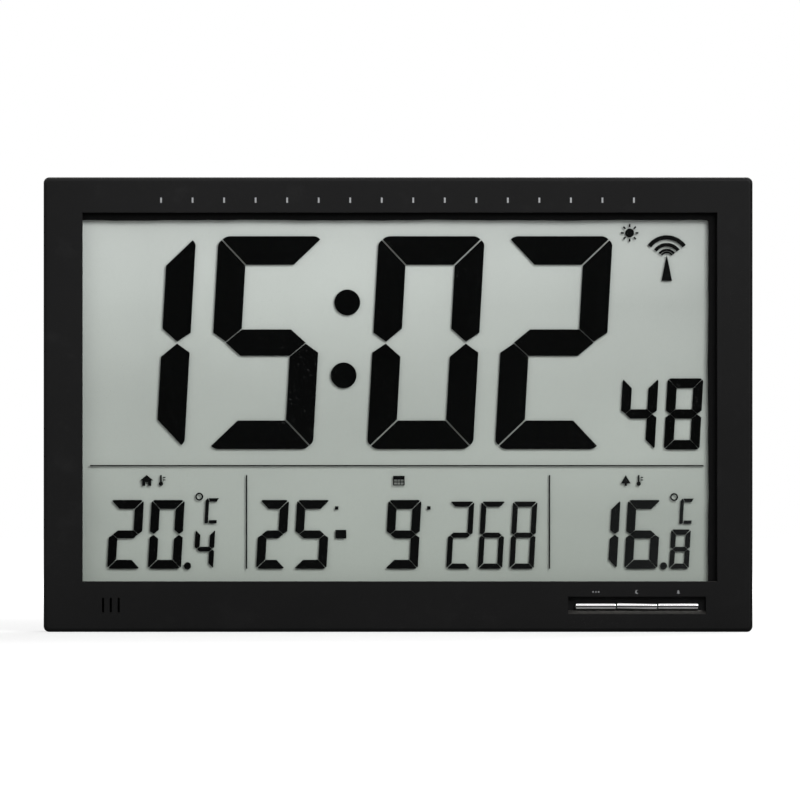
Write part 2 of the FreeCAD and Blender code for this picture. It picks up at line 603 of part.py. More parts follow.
def rear_cover():
    """Moulded rear shell: battery bay, leg wells, keyholes, key holes, screw posts, clips and ribs."""
    shell = plate(-HALF_W, HALF_W, 0, CASE_H, SEAM, BACK, CORNER_R)
    shell = shell.makeFillet(BACK_ROUND, edges_at(shell, BACK))
    shell = shell.makeChamfer(SEAM_BEVEL, edges_at(shell, SEAM))
    hollow = plate(-HALF_W + SIDE_WALL, HALF_W - SIDE_WALL, SIDE_WALL, CASE_H - SIDE_WALL,
                   SEAM - 1, BACK_IN, INNER_R)
    shell = shell.cut(hollow)
    lap_out = SIDE_WALL - LAP_T
    lap = plate(-HALF_W + lap_out, HALF_W - lap_out, lap_out, CASE_H - lap_out,
                SEAM - LAP_D, SEAM + 1, INNER_R + LAP_T)
    lap = lap.cut(plate(-HALF_W + SIDE_WALL, HALF_W - SIDE_WALL, SIDE_WALL, CASE_H - SIDE_WALL,
                        SEAM - LAP_D - 1, SEAM + 2, INNER_R))
    posts = [rod_y(POST_R, x, z, JOIN_Y, BACK_IN + 0.1) for x, z in CASE_POINTS]
    pockets = [hang_pocket(x, POCKET_SHELL, BACK_IN - HANG_POCKET_D - POCKET_SHELL, BACK_IN + 0.1)
               for x in (-HANG_X, HANG_X)]
    wells = [leg_well(x, POCKET_SHELL) for x in (-LEG_X, LEG_X)]
    clips = [rod_clip(x) for x in (-CLIP_X, CLIP_X)]
    key_posts = [rod_y(STANDOFF_R, x, z, KEY_BOARD_TOP, BACK_IN + 0.1) for x, z in KEY_POSTS]
    small_posts = [rod_y(STANDOFF_R, x, z, SMALL_BOARD_TOP, BACK_IN + 0.1)
                   for x, z in board_points(RECEIVER_X, RECEIVER_Z) + board_points(SENSOR_X, SENSOR_Z)]
    rib_z = (HANG_Z + BAY_Z) / 2
    beam = box(-HALF_W + SIDE_WALL, HALF_W - SIDE_WALL, BACK_IN - BEAM_H, BACK_IN + 0.1,
               rib_z - BEAM_W / 2, rib_z + BEAM_W / 2)
    solids = [shell, lap, beam] + posts + pockets + wells + bay_shell() + clips + key_posts + small_posts
    shell = union(solids)

    cuts = [hang_pocket(x, 0, BACK_IN - HANG_POCKET_D, BACK_IN) for x in (-HANG_X, HANG_X)]
    cuts += [keyhole_cut(x) for x in (-HANG_X, HANG_X)]
    cuts += [leg_well(x, 0) for x in (-LEG_X, LEG_X)]
    cuts += [rod_x(PIN_R, LEG_AXIS_Y, LEG_AXIS_Z, x - WELL_HALF - PIN_END, x + WELL_HALF + PIN_END)
             for x in (-LEG_X, LEG_X)]
    cuts += bay_cuts()
    cuts += [rod_y(KEY_R + KEY_SLACK, KEY_X, z, BACK_IN - 1, BACK + 1) for z in KEY_Z]
    cuts += [rod_y(COUNTERBORE_R, x, z, JOIN_Y + POST_FLOOR, BACK + 1) for x, z in CASE_POINTS]
    cuts += [pilot(CASE_SCREW, x, z, JOIN_Y - 1, BACK) for x, z in CASE_POINTS]
    cuts += [pilot(BOARD_SCREW, x, z, KEY_BOARD_TOP - 1, BACK_IN) for x, z in KEY_POSTS]
    cuts += [box(x, x + VENT_W, BACK_IN - 1, BACK + 1, VENT_Z[0], VENT_Z[1])
             for x in (VENT_X + i * VENT_PITCH for i in range(VENT_N))]
    shell = shell.cut(cuts)
    divider = box(BAY_X - BAY_HALF_X + SPRING_ROOM, BAY_X + BAY_HALF_X - SPRING_ROOM,
                  BAY_FLOOR - 0.1, BAY_FLOOR + DIVIDER_H,
                  BAY_Z - DIVIDER_T / 2, BAY_Z + DIVIDER_T / 2)
    return union([shell, divider])


def battery_door():
    """Hinged lid: flat panel, round hinge edge with two end pins, latch tongue and grip grooves."""
    x0, x1 = BAY_X - DOOR_HALF_X, BAY_X + DOOR_HALF_X
    panel = box(x0, x1, DOOR_INNER, DOOR_FACE, DOOR_AXIS_Z, BAY_Z + DOOR_HALF_Z)
    barrel = rod_x(DOOR_BARREL_R, DOOR_AXIS_Y, DOOR_AXIS_Z, x0, x1)
    pins = [rod_x(DOOR_PIN_R, DOOR_AXIS_Y, DOOR_AXIS_Z, x0 - DOOR_PIN_L, x0 + 1),
            rod_x(DOOR_PIN_R, DOOR_AXIS_Y, DOOR_AXIS_Z, x1 - 1, x1 + DOOR_PIN_L)]
    door = union([panel, barrel] + pins)
    top = BAY_Z + DOOR_HALF_Z
    slits = [box(BAY_X + s * LATCH_W / 2 - LATCH_SLIT / 2, BAY_X + s * LATCH_W / 2 + LATCH_SLIT / 2,
                 DOOR_INNER - 1, DOOR_FACE + 1, top - LATCH_L, top + 1) for s in (-1, 1)]
    grips = [box(BAY_X - GRIP_L / 2, BAY_X + GRIP_L / 2, DOOR_FACE - GRIP_D, DOOR_FACE + 1, z, z + GRIP_W)
             for z in (top - (i + 1) * GRIP_PITCH for i in range(GRIP_N))]
    return door.cut(slits + grips)


def stand_leg(x):
    """Folding leg: flat panel with a barrel at its foot, hollowed on the inside between ribs."""
    half = LEG_W / 2
    top = LEG_AXIS_Z + LEG_L
    outer = LEG_AXIS_Y + LEG_BARREL_R
    panel = box(x - half, x + half, LEG_INNER, outer, LEG_AXIS_Z, top)
    tips = [e for e in panel.Edges if all(abs(v.Z - top) < 1e-6 for v in e.Vertexes)
            and abs(e.Vertexes[0].Y - e.Vertexes[1].Y) > 1]
    panel = panel.makeFillet(LEG_TIP_R, tips)
    barrel = rod_x(LEG_BARREL_R, LEG_AXIS_Y, LEG_AXIS_Z, x - half, x + half)
    leg = union([panel, barrel])
    z0 = LEG_AXIS_Z + LEG_BARREL_R + LEG_RIB
    span = (top - LEG_TIP_R - z0) / 3
    cuts = []
    for i in range(3):
        for side in (-1, 1):
            xa = x + side * LEG_RIB / 2
            xb = x + side * (half - LEG_RIB)
            cuts.append(box(min(xa, xb), max(xa, xb), LEG_INNER - 1, outer - LEG_SKIN,
                            z0 + i * span, z0 + (i + 1) * span - LEG_RIB))
    bore = rod_x(PIN_R + PIN_SLACK, LEG_AXIS_Y, LEG_AXIS_Z, x - half - 1, x + half + 1)
    return leg.cut(cuts + [bore])


def leg_pin(x):
    """Steel hinge pin held in the side walls of the leg well."""
    reach = WELL_HALF + PIN_END
    return rod_x(PIN_R, LEG_AXIS_Y, LEG_AXIS_Z, x - reach, x + reach)


def window_gasket():
    """Foam frame between the bezel lip and the display; it shows at the top and right of the window."""
    outer = box(GLASS_X0 + GASKET_INSET, GLASS_X1 - GASKET_INSET, LIP_Y, POLARISER_Y,
                GLASS_Z0 + GASKET_INSET, GLASS_Z1 - GASKET_INSET)
    inner = box(WIN_X0 - GASKET_HIDDEN, WIN_X1 - GASKET_SHOWS_RIGHT, LIP_Y - 1, POLARISER_Y + 1,
                WIN_Z0 - GASKET_HIDDEN, WIN_Z1 - GASKET_SHOWS_TOP)
    return outer.cut(inner)


def glass_sheet(y0, thickness, foot, inset):
    """One sheet of the display, inset all round from the glass outline."""
    return box(GLASS_X0 + inset, GLASS_X1 - inset, y0, y0 + thickness, foot + inset, GLASS_Z1 - inset)


def edge_seal():
    """Thin frame that closes the gap between the two glasses."""
    outer = glass_sheet(LAYER_Y, LAYER_T, REAR_GLASS_Z0, 0)
    inner = box(GLASS_X0 + SEAL_W, GLASS_X1 - SEAL_W, LAYER_Y - 1, LAYER_Y + LAYER_T + 1,
                REAR_GLASS_Z0 + SEAL_W, GLASS_Z1 - SEAL_W)
    return outer.cut(inner)


def lit(points, x, z):
    """Lit area from leaning (x, z) points, set at its base; a third item marks the middle of an arc."""
    placed = [(FreeCAD.Vector(x + p[0] + LEAN * p[1], LAYER_Y, z + p[1]), len(p) > 2) for p in points]
    edges = []
    count = len(placed)
    for i, (start, middle) in enumerate(placed):
        if middle:
            continue
        end, arc = placed[(i + 1) % count]
        if arc:
            last = placed[(i + 2) % count][0]
            edges.append(Part.Arc(start, end, last).toShape())
        else:
            edges.append(Part.makeLine(start, end))
    return Part.Face(Part.Wire(edges)).extrude(FreeCAD.Vector(0, LAYER_T, 0))


def segment(name, size):
    """Outline of one of the seven segments a to g, with mitred ends and a rounded outer corner."""
    w, h, bar, side, mid, gap, r = (size[k] for k in ("w", "h", "bar", "side", "mid", "gap", "r"))
    cut = r * (1 - math.sqrt(0.5))
    bow = r * (1 - math.cos(math.pi / 8))
    sag = r * (1 - math.sin(math.pi / 8))
    tip = side * NOSE_IN
    half = h / 2
    if name in "ad":
        corner = cut + gap
        shoulder = corner + (r - corner) / 2
        points = [(corner, h - cut), (shoulder, h - bow, "arc"), (r, h),
                  (w - r, h), (w - shoulder, h - bow, "arc"), (w - corner, h - cut),
                  (w - side - gap, h - bar), (side + gap, h - bar)]
    elif name in "fbec":
        points = [(0, h - r), (bow, h - sag, "arc"), (cut, h - cut - gap), (side, h - bar - gap),
                  (side, half + mid / 2 + gap), (tip, half + gap), (0, half + side * NOSE_OUT)]
    else:
        points = [(tip, half), (side, half + mid / 2), (w - side, half + mid / 2), (w - tip, half),
                  (w - side, half - mid / 2), (side, half - mid / 2)]
    if name in "bc":
        points = [(w - p[0],) + p[1:] for p in points]
    if name in "dec":
        points = [(p[0], h - p[1]) + p[2:] for p in points]
    return points


LIT_SEGMENTS = {"0": "abcdef", "1": "bc", "2": "abged", "4": "fgbc", "5": "afgcd",
                "6": "afgedc", "8": "abcdefg", "9": "abcdfg"}


def digit(char, size, x, z):
    """Lit segments of one digit; x and z are its lower left corner within the display field."""
    return [lit(segment(name, size), FIELD_X0 + x, FIELD_Z0 + z) for name in LIT_SEGMENTS[char]]


def lcd_segments():
    """Time, seconds, date, day of the year and both temperatures."""
    shapes = []
    fields = [("1", BIG, -2.0, BIG_BASE), ("5", BIG, 64.8, BIG_BASE), ("0", BIG, 148.0, BIG_BASE),
              ("2", BIG, 214.5, BIG_BASE), ("4", SECONDS, 278.9, SECONDS_BASE),
              ("8", SECONDS, 302.2, SECONDS_BASE),
              ("2", SMALL, 13.0, ROW_BASE), ("0", SMALL, 34.2, ROW_BASE), ("4", TENTH, 57.9, ROW_BASE),
              ("2", NARROW, 90.4, ROW_BASE), ("5", SMALL, 109.8, ROW_BASE), ("9", SMALL, 157.2, ROW_BASE),
              ("2", SLIM, 189.2, ROW_BASE), ("6", SLIM, 205.6, ROW_BASE), ("8", SLIM, 222.0, ROW_BASE),
              ("1", SMALL, 260.6, ROW_BASE), ("6", SMALL, 281.7, ROW_BASE), ("8", TENTH, 305.0, ROW_BASE)]
    for char, size, x, z in fields:
        shapes += digit(char, size, x, z)
    discs = [(COLON_R, 137.8, 145.1), (COLON_R, 135.9, 107.2), (POINT_R, 54.8, 8.25), (POINT_R, 302.1, 8.25)]
    shapes += [rod_y(r, FIELD_X0 + x, FIELD_Z0 + z, LAYER_Y, LAYER_Y + LAYER_T) for r, x, z in discs]
    return group(shapes)


def flat_mark(x0, x1, z0, z1):
    """Straight dark mark in the display, within the display field."""
    return box(FIELD_X0 + x0, FIELD_X0 + x1, LAYER_Y, LAYER_Y + LAYER_T, FIELD_Z0 + z0, FIELD_Z0 + z1)


def disc_mark(radius, x, z):
    """Round dark mark in the display."""
    return rod_y(radius, FIELD_X0 + x, FIELD_Z0 + z, LAYER_Y, LAYER_Y + LAYER_T)


def shape_mark(points):
    """Dark mark with a straight-sided outline."""
    return prism_y([(FIELD_X0 + x, FIELD_Z0 + z) for x, z in points], LAYER_Y, LAYER_Y + LAYER_T)


def radio_mast(x, z):
    """Mast under four arcs of radio waves; x and z are the centre of the arcs."""
    marks = [shape_mark([(x, z + 2.2), (x - 2.75, z - 11.4), (x + 2.75, z - 11.4)])]
    fan = shape_mark([(x, z), (x + 19.0, z + 13.8), (x, z + 19.0), (x - 19.0, z + 13.8)])
    for radius, width in ((12.3, 2.2), (8.3, 1.85), (5.3, 1.2), (3.8, 0.85)):
        ring = disc_mark(radius, x, z).cut(disc_mark(radius - width, x, z))
        marks.append(ring.common(fan))
    return marks


def sun_mark(x, z, radius):
    """Disc with eight rays."""
    marks = [disc_mark(radius * 0.5, x, z)]
    for i in range(8):
        ray = flat_mark(x + radius * 0.66, x + radius, z - radius * 0.09, z + radius * 0.09)
        centre = FreeCAD.Vector(FIELD_X0 + x, 0, FIELD_Z0 + z)
        marks.append(ray.rotated(centre, FreeCAD.Vector(0, 1, 0), i * 45.0))
    return marks


def house_mark(x, z, h):
    """House with a door."""
    walls = [(x - h * 0.42, z), (x - h * 0.42, z + h * 0.5), (x - h * 0.62, z + h * 0.5), (x, z + h),
             (x + h * 0.62, z + h * 0.5), (x + h * 0.42, z + h * 0.5), (x + h * 0.42, z)]
    door = flat_mark(x - h * 0.12, x + h * 0.12, z - 1, z + h * 0.34)
    return [shape_mark(walls).cut(door)]


def tree_mark(x, z, h):
    """Fir tree with a short trunk."""
    trunk = h * 0.1
    foot = z + h * 0.22
    return [shape_mark([(x - trunk, z), (x - trunk, foot), (x - h * 0.45, foot), (x, z + h),
                        (x + h * 0.45, foot), (x + trunk, foot), (x + trunk, z)])]


def calendar_mark(x, z, h):
    """Sheet with a heading bar and four squares."""
    frame = flat_mark(x - h * 0.6, x + h * 0.6, z, z + h)
    rows = [flat_mark(x - h * 0.48 + i * h * 0.34, x - h * 0.2 + i * h * 0.34, z + h * 0.1 + j * h * 0.31,
                      z + h * 0.31 + j * h * 0.31) for i in range(3) for j in range(2)]
    return [frame.cut(rows)]


def thermometer_mark(x, z, h):
    """Bulb with a stem and two scale marks."""
    bulb = disc_mark(h * 0.2, x, z + h * 0.2)
    stem = flat_mark(x - h * 0.08, x + h * 0.08, z + h * 0.3, z + h)
    marks = [union([bulb, stem])]
    marks += [flat_mark(x + h * 0.18, x + h * 0.42, z + h * k, z + h * (k + 0.09)) for k in (0.5, 0.74)]
    return marks


def degree_mark(x, z):
    """Degree ring and the angular unit sign beside it; x and z are the centre of the ring."""
    ring = disc_mark(2.05, x, z).cut(disc_mark(1.3, x, z))
    bars = [[(0, 0.4), (0, 12.0), (1.0, 13.2), (1.8, 12.0), (1.8, 0.4), (0.8, 0)],
            [(1.4, 13.2), (6.8, 13.2), (5.8, 11.4), (2.3, 11.4)],
            [(2.2, 0.1), (6.3, 0.1), (6.3, 1.8), (2.2, 1.8)]]
    return [ring] + [lit(points, FIELD_X0 + x + 2.7, FIELD_Z0 + z - 14.0) for points in bars]


def lcd_symbols():
    """Dividing lines, radio mast, sun, pictograms over the three fields, date and unit signs."""
    marks = [flat_mark(4.1, 322.9, 59.9, 60.6), flat_mark(85.15, 85.85, ROW_BASE, 55.35),
             flat_mark(242.55, 243.25, ROW_BASE, 55.35)]
    marks += radio_mast(303.8, 167.7)
    marks += sun_mark(284.5, 181.2, 4.6)
    marks += house_mark(33.6, 49.8, 5.6) + thermometer_mark(41.0, 49.8, 5.6)
    marks += calendar_mark(164.6, 50.0, 5.0)
    marks += [flat_mark(x - 0.9, x + 0.9, 37.4, 39.2) for x in (132.3, 180.2)]
    marks += tree_mark(282.5, 49.8, 5.6) + thermometer_mark(289.2, 49.8, 5.6)
    marks += degree_mark(60.9, 44.2) + degree_mark(307.6, 44.0)
    marks.append(flat_mark(131.6, 137.3, 22.5, 26.9))
    return group(marks)


def lcd_tray():
    """White tray behind the display: floor, rim, ribs, fixing ears, pegs and the strip's opening."""
    x0, x1 = GLASS_X0 - TRAY_GAP - TRAY_RIM, GLASS_X1 + TRAY_GAP + TRAY_RIM
    z0, z1 = GLASS_Z0 - TRAY_GAP - TRAY_RIM, GLASS_Z1 + TRAY_GAP + TRAY_RIM
    block = box(x0, x1, POLARISER_Y, TRAY_BACK, z0, z1)
    ears = []
    for x, z in EAR_POINTS:
        edge = x0 + 1 if x < 0 else x1 - 1
        ears.append(rod_y(EAR_R, x, z, TRAY_Y, TRAY_BACK))
        ears.append(box(min(edge, x), max(edge, x), TRAY_Y, TRAY_BACK, z - EAR_R, z + EAR_R))
    pegs = [rod_y(PEG_R, x, z, TRAY_BACK - 0.1, MAIN_Y) for x, z in MAIN_PEGS]
    count = int((z1 - MAIN_Z[1]) // TRAY_RIB_PITCH)
    ribs = [box(x0 + 10, x1 - 10, TRAY_BACK - 0.1, TRAY_BACK + TRAY_RIB_H,
                MAIN_Z[1] + 10 + i * TRAY_RIB_PITCH, MAIN_Z[1] + 10 + i * TRAY_RIB_PITCH + TRAY_RIB_W)
            for i in range(count)]
    body = union([block] + ears + pegs + ribs)
    room = box(GLASS_X0 - TRAY_GAP, GLASS_X1 + TRAY_GAP, POLARISER_Y - 1, TRAY_Y,
               GLASS_Z0 - TRAY_GAP, GLASS_Z1 + TRAY_GAP)
    slot = box(STRIP_LEFT - TRAY_GAP, STRIP_LEFT + STRIP_L + TRAY_GAP, TRAY_Y - 1, TRAY_BACK + 1,
               GLASS_Z0 + STRIP_FOOT - TRAY_GAP, GLASS_Z0 + STRIP_FOOT + STRIP_T + TRAY_GAP)
    holes = [pilot(BOARD_SCREW, x, z, TRAY_Y - 1, TRAY_BACK + 1) for x, z in EAR_POINTS]
    holes += [pilot(BOARD_SCREW, x, z, TRAY_Y + PEG_FLOOR, MAIN_Y + 1) for x, z in MAIN_PEGS]
    return body.cut([room, slot] + holes)


def rubber_strip():
    """Elastomer connector from the ledge of the front glass to the main board."""
    z0 = GLASS_Z0 + STRIP_FOOT
    return box(STRIP_LEFT, STRIP_LEFT + STRIP_L, LAYER_Y, MAIN_Y, z0, z0 + STRIP_T)


def front_button(index):
    """Crowned chrome bar with a fine groove, a retaining flange and a stem to its switch."""
    x0 = BUTTON_X0 + index * (BUTTON_L + BUTTON_GAP)
    x1 = x0 + BUTTON_L
    front = POCKET_FLOOR - BUTTON_PROUD
    crown = rod_x(CROWN_R, front + CROWN_R, BUTTON_ZC, x0, x1)
    body = box(x0, x1, front, FLANGE_Y + 0.1, BUTTON_Z0, BUTTON_Z0 + BUTTON_H)
    behind = box(x0, x1, front + CROWN_R, FLANGE_Y + 0.1, BUTTON_Z0, BUTTON_Z0 + BUTTON_H)
    bar = union([crown.common(body), behind])
    ends = [e for e in bar.Edges if len(e.Vertexes) == 2 and e.Curve.TypeId == "Part::GeomCircle"]
    bar = bar.makeFillet(BUTTON_END_R, ends)
    groove_z = BUTTON_ZC - GROOVE_DROP - GROOVE_W / 2
    groove = box(x0 - 1, x1 + 1, front - 1, front + GROOVE_D, groove_z, groove_z + GROOVE_W)
    bar = bar.cut(groove)
    flange = box(x0, x1, FLANGE_Y, FLANGE_Y + FLANGE_T,
                 BUTTON_Z0 - FLANGE_OUT, BUTTON_Z0 + BUTTON_H + FLANGE_OUT)
    stem = rod_y(STEM_R, BUTTON_XC[index], BUTTON_ZC, FLANGE_Y, STEM_END)
    centre = FreeCAD.Vector(BUTTON_XC[index], 0, BUTTON_ZC)
    return union([bar, flange, stem]).rotated(centre, FreeCAD.Vector(0, 1, 0), BUTTON_TILT[index])


def plunger(x, z, tip, side):
    """Plunger of a push switch; side is +1 when it is pushed towards +Y."""
    end = tip + side * (PLUNGER_OUT + PLUNGER_IN)
    return rod_y(PLUNGER_R, x, z, min(tip, end), max(tip, end))


def switch_housing(x, z, face, side):
    """Square housing of a push switch, with the bore of its plunger."""
    end = face + side * SWITCH_H
    half = SWITCH_W / 2
    body = box(x - half, x + half, min(face, end), max(face, end), z - half, z + half)
    deep = face + side * (PLUNGER_IN + WELL_SPARE)
    mouth = face - side
    return body.cut(rod_y(PLUNGER_R + PLUNGER_SLACK, x, z, min(deep, mouth), max(deep, mouth)))


def button_board():
    """Board behind the front buttons, with two screw holes."""
    x0 = BUTTON_POSTS[0][0] - BUTTON_POST_R - 1
    x1 = BUTTON_POSTS[1][0] + BUTTON_POST_R + 1
    board = box(x0, x1, BUTTON_BOARD_Y, BUTTON_BOARD_BACK, BUTTON_BOARD_Z[0], BUTTON_BOARD_Z[1])
    return board.cut([pilot(BOARD_SCREW, x, z, BUTTON_BOARD_Y - 1, BUTTON_BOARD_BACK + 1)
                      for x, z in BUTTON_POSTS])


def rear_key(z):
    """Round rear key with a retaining flange and a short stem."""
    cap = rod_y(KEY_R, KEY_X, z, KEY_FLANGE_TOP - 0.1, KEY_TOP)
    cap = cap.makeFillet(0.5, edges_at(cap, KEY_TOP))
    flange = rod_y(KEY_FLANGE_R, KEY_X, z, KEY_FLANGE_TOP - KEY_FLANGE_T, KEY_FLANGE_TOP)
    stem = rod_y(STEM_R, KEY_X, z, KEY_STEM_END, KEY_FLANGE_TOP)
    return union([cap, flange, stem])


def key_board():
    """Board under the rear keys."""
    half = KEY_BOARD_W / 2
    board = box(KEY_X - half, KEY_X + half, KEY_BOARD_Y, KEY_BOARD_TOP,
                KEY_Z[0] - KEY_BOARD_END, KEY_Z[-1] + KEY_BOARD_END)
    return board.cut([pilot(BOARD_SCREW, x, z, KEY_BOARD_Y - 1, KEY_BOARD_TOP + 1) for x, z in KEY_POSTS])


def main_board():
    """Main board on the tray's pegs."""
    board = plate(MAIN_X[0], MAIN_X[1], MAIN_Z[0], MAIN_Z[1], MAIN_Y, MAIN_BACK, 1.5)
    return board.cut([pilot(BOARD_SCREW, x, z, MAIN_Y - 1, MAIN_BACK + 1) for x, z in MAIN_PEGS])


def epoxy_drop(x, z):
    """Flat dome of black epoxy over the controller."""
    sphere_r = (BLOB_R ** 2 + BLOB_H ** 2) / (2 * BLOB_H)
    ball = Part.makeSphere(sphere_r, FreeCAD.Vector(x, MAIN_BACK + BLOB_H - sphere_r, z))
    return ball.common(rod_y(BLOB_R + 1, x, z, MAIN_BACK, MAIN_BACK + BLOB_H + 1))


def crystals():
    """Two quartz crystals lying on the main board."""
    return group([rod_x(CRYSTAL_R, MAIN_BACK + CRYSTAL_R, z, x, x + CRYSTAL_L) for x, z in CRYSTAL_POINTS])


def capacitors():
    """Round capacitors standing on the main board."""
    return group([rod_y(CAN_R, x, z, MAIN_BACK, MAIN_BACK + CAN_H) for x, z in CAN_POINTS])


def buzzer():
    """Round sounder in the ring behind the sound slots, with its port towards them."""
    body = rod_y(BUZZER_R, SLOT_XC, SLOT_ZC, FACE_IN + BUZZER_SLACK, FACE_IN + BUZZER_SLACK + BUZZER_H)
    return body.cut(rod_y(BUZZER_PORT_R, SLOT_XC, SLOT_ZC, FACE_IN - 1, FACE_IN + 1.5))


def thermistor():
    """Bead on two wires at the edge of the main board."""
    x = MAIN_X[0] - 7.0
    y = MAIN_BACK + BEAD_R
    z = MAIN_Z[0] + 8.0
    bead = Part.makeSphere(BEAD_R, FreeCAD.Vector(x, y, z))
    wires = [rod_x(WIRE_R, MAIN_BACK + WIRE_R, z + s * 0.6, x, MAIN_X[0] + 4.0) for s in (-1, 1)]
    return union([bead] + wires)


def ferrite_rod():
    """Rod of the time signal aerial."""
    return rod_x(ROD_R, ROD_Y, ROD_Z, -ROD_L / 2, ROD_L / 2)


def antenna_coil():
    """Winding around the ferrite rod, as one sleeve with two end flanges."""
    body = rod_x(COIL_R - 0.8, ROD_Y, ROD_Z, -COIL_L / 2, COIL_L / 2)
    flanges = [rod_x(COIL_R, ROD_Y, ROD_Z, x, x + 1.2) for x in (-COIL_L / 2, COIL_L / 2 - 1.2)]
    return union([body] + flanges).cut(rod_x(ROD_R + SCREW_SLACK, ROD_Y, ROD_Z, -COIL_L, COIL_L))


def receiver_board():
    """Time signal receiver: small board with its chip."""
    board = box(RECEIVER_X[0], RECEIVER_X[1], SMALL_BOARD_Y, SMALL_BOARD_TOP, RECEIVER_Z[0], RECEIVER_Z[1])
    z = sum(RECEIVER_Z) / 2
    chip = box(-4.0, 4.0, SMALL_BOARD_Y - 1.4, SMALL_BOARD_Y, z - 2.5, z + 2.5)
    return union([board, chip])


def sensor_board():
    """Outdoor sensor receiver: small board with a shielding can."""
    board = box(SENSOR_X[0], SENSOR_X[1], SMALL_BOARD_Y, SMALL_BOARD_TOP, SENSOR_Z[0], SENSOR_Z[1])
    x, z = SENSOR_X[0] + 8.0, SENSOR_Z[0] + 3.0
    can = box(x, x + 14.0, SMALL_BOARD_Y - 2.6, SMALL_BOARD_Y, z, z + 11.0)
    return union([board, can])


def sensor_aerial():
    """Coiled aerial lying on the sensor board, as a plain sleeve."""
    y = SMALL_BOARD_Y - AERIAL_R
    z = sum(SENSOR_Z) / 2
    sleeve = rod_x(AERIAL_R, y, z, SENSOR_X[0] + 24.0, SENSOR_X[1] - 2.0)
    return sleeve.cut(rod_x(AERIAL_BORE, y, z, SENSOR_X[0], SENSOR_X[1]))


def cell(sign):
    """Round cell; sign is +1 for the upper one, whose button is at +X."""
    z = BAY_Z + sign * CELL_PITCH / 2
    tip = BAY_X + sign * (BAY_HALF_X - CONTACT_T - CONTACT_DIMPLE)
    shoulder = tip - sign * NUB_H
    foot = tip - sign * CELL_L
    body = rod_x(CELL_R, CELL_Y, z, min(shoulder, foot), max(shoulder, foot))
    body = body.makeChamfer(CELL_BEVEL, [e for e in body.Edges if len(e.Vertexes) == 1])
    button = rod_x(NUB_R, CELL_Y, z, min(shoulder, tip), max(shoulder, tip))
    return union([body, button])


def contact_plate(sign_x, z, height):
    """Flat contact plate against an end wall of the bay."""
    wall = BAY_X + sign_x * BAY_HALF_X
    inner = wall - sign_x * CONTACT_T
    return box(min(wall, inner), max(wall, inner), CELL_Y - CONTACT_W / 2, CELL_Y + CONTACT_W / 2,
               z - height / 2, z + height / 2)


def contact_dimple(sign_x, z):
    """Raised spot that meets the button of a cell."""
    inner = BAY_X + sign_x * (BAY_HALF_X - CONTACT_T)
    tip = inner - sign_x * CONTACT_DIMPLE
    return rod_x(NUB_R, CELL_Y, z, min(tip, inner), max(tip, inner))


def contact_leaf(sign_x, z):
    """Bowed leaf that presses on the flat end of a cell."""
    inner = BAY_X + sign_x * (BAY_HALF_X - CONTACT_T)
    rise = SPRING_ROOM - CONTACT_T - SEAT_GAP / 2
    half = CONTACT_W / 2
    radius = (half ** 2 + rise ** 2) / (2 * rise)
    centre = inner - sign_x * (rise - radius)
    foot = z - LEAF_W / 2
    bow = Part.makeCylinder(radius, LEAF_W, FreeCAD.Vector(centre, CELL_Y, foot))
    bow = bow.cut(Part.makeCylinder(radius - CONTACT_T, LEAF_W, FreeCAD.Vector(centre, CELL_Y, foot)))
    edge = inner - sign_x * rise
    return bow.common(box(min(edge, inner), max(edge, inner), CELL_Y - half, CELL_Y + half,
                          foot, foot + LEAF_W))


def contact_strap(sign):
    """Strip from an end contact down to its solder tab."""
    z = BAY_Z + sign * CELL_PITCH / 2
    wall = BAY_X + BAY_HALF_X
    return box(wall - CONTACT_T, wall, TAB_Y, CELL_Y, z - TAB_W / 2, z + TAB_W / 2)


def plus_contact():
    """Contact of the upper cell's button, with its solder tab."""
    z = BAY_Z + CELL_PITCH / 2
    return union([contact_plate(1, z, CONTACT_W), contact_dimple(1, z), contact_strap(1), tab_box(1, 0)])


def minus_contact():
    """Sprung contact of the lower cell's flat end, with its solder tab."""
    z = BAY_Z - CELL_PITCH / 2
    return union([contact_plate(1, z, CONTACT_W), contact_leaf(1, z), contact_strap(-1), tab_box(-1, 0)])


def bridge_contact():
    """Plate that joins the two cells at the other end."""
    upper = BAY_Z + CELL_PITCH / 2
    lower = BAY_Z - CELL_PITCH / 2
    bridge = contact_plate(-1, BAY_Z, CELL_PITCH + CONTACT_W)
    return union([bridge, contact_leaf(-1, upper), contact_dimple(-1, lower)])


def lead(points, radius):
    """Round wire through (x, y, z) points, rounded at its bends."""
    corners = [FreeCAD.Vector(*p) for p in points]
    path = Part.Wire(Part.makePolygon(corners).Edges)
    ring = Part.Wire(Part.makeCircle(radius, corners[0], corners[1] - corners[0]))
    return path.makePipeShell([ring], True, False, 2)


def battery_leads():
    """Two wires from the solder tabs of the end contacts to the main board."""
    x = BAY_X + BAY_HALF_X + BAY_WALL + TAB_OUT / 2
    y = TAB_Y - LEAD_LIFT - LEAD_R
    on_board = MAIN_BACK + LEAD_LIFT + LEAD_R
    plus_z = BAY_Z + CELL_PITCH / 2 + TAB_W / 2
    minus_z = BAY_Z - CELL_PITCH / 2 + TAB_W / 2
    aside = x + TAB_OUT + LEAD_R
    edge = MAIN_Z[1]
    plus = [(x, y, plus_z), (x, y, plus_z - TAB_W - 1), (aside, y, BAY_Z),
            (aside, y, edge + PLUS_RISE), (LEAD_X[1], on_board, edge + PLUS_DIP),
            (LEAD_X[1], on_board, edge - LEAD_END)]
    minus = [(x, y, minus_z), (x, y, edge + MINUS_RISE), (LEAD_X[0], on_board, edge + MINUS_DIP),
             (LEAD_X[0], on_board, edge - LEAD_END)]
    return group([lead(plus, LEAD_R), lead(minus, LEAD_R)])


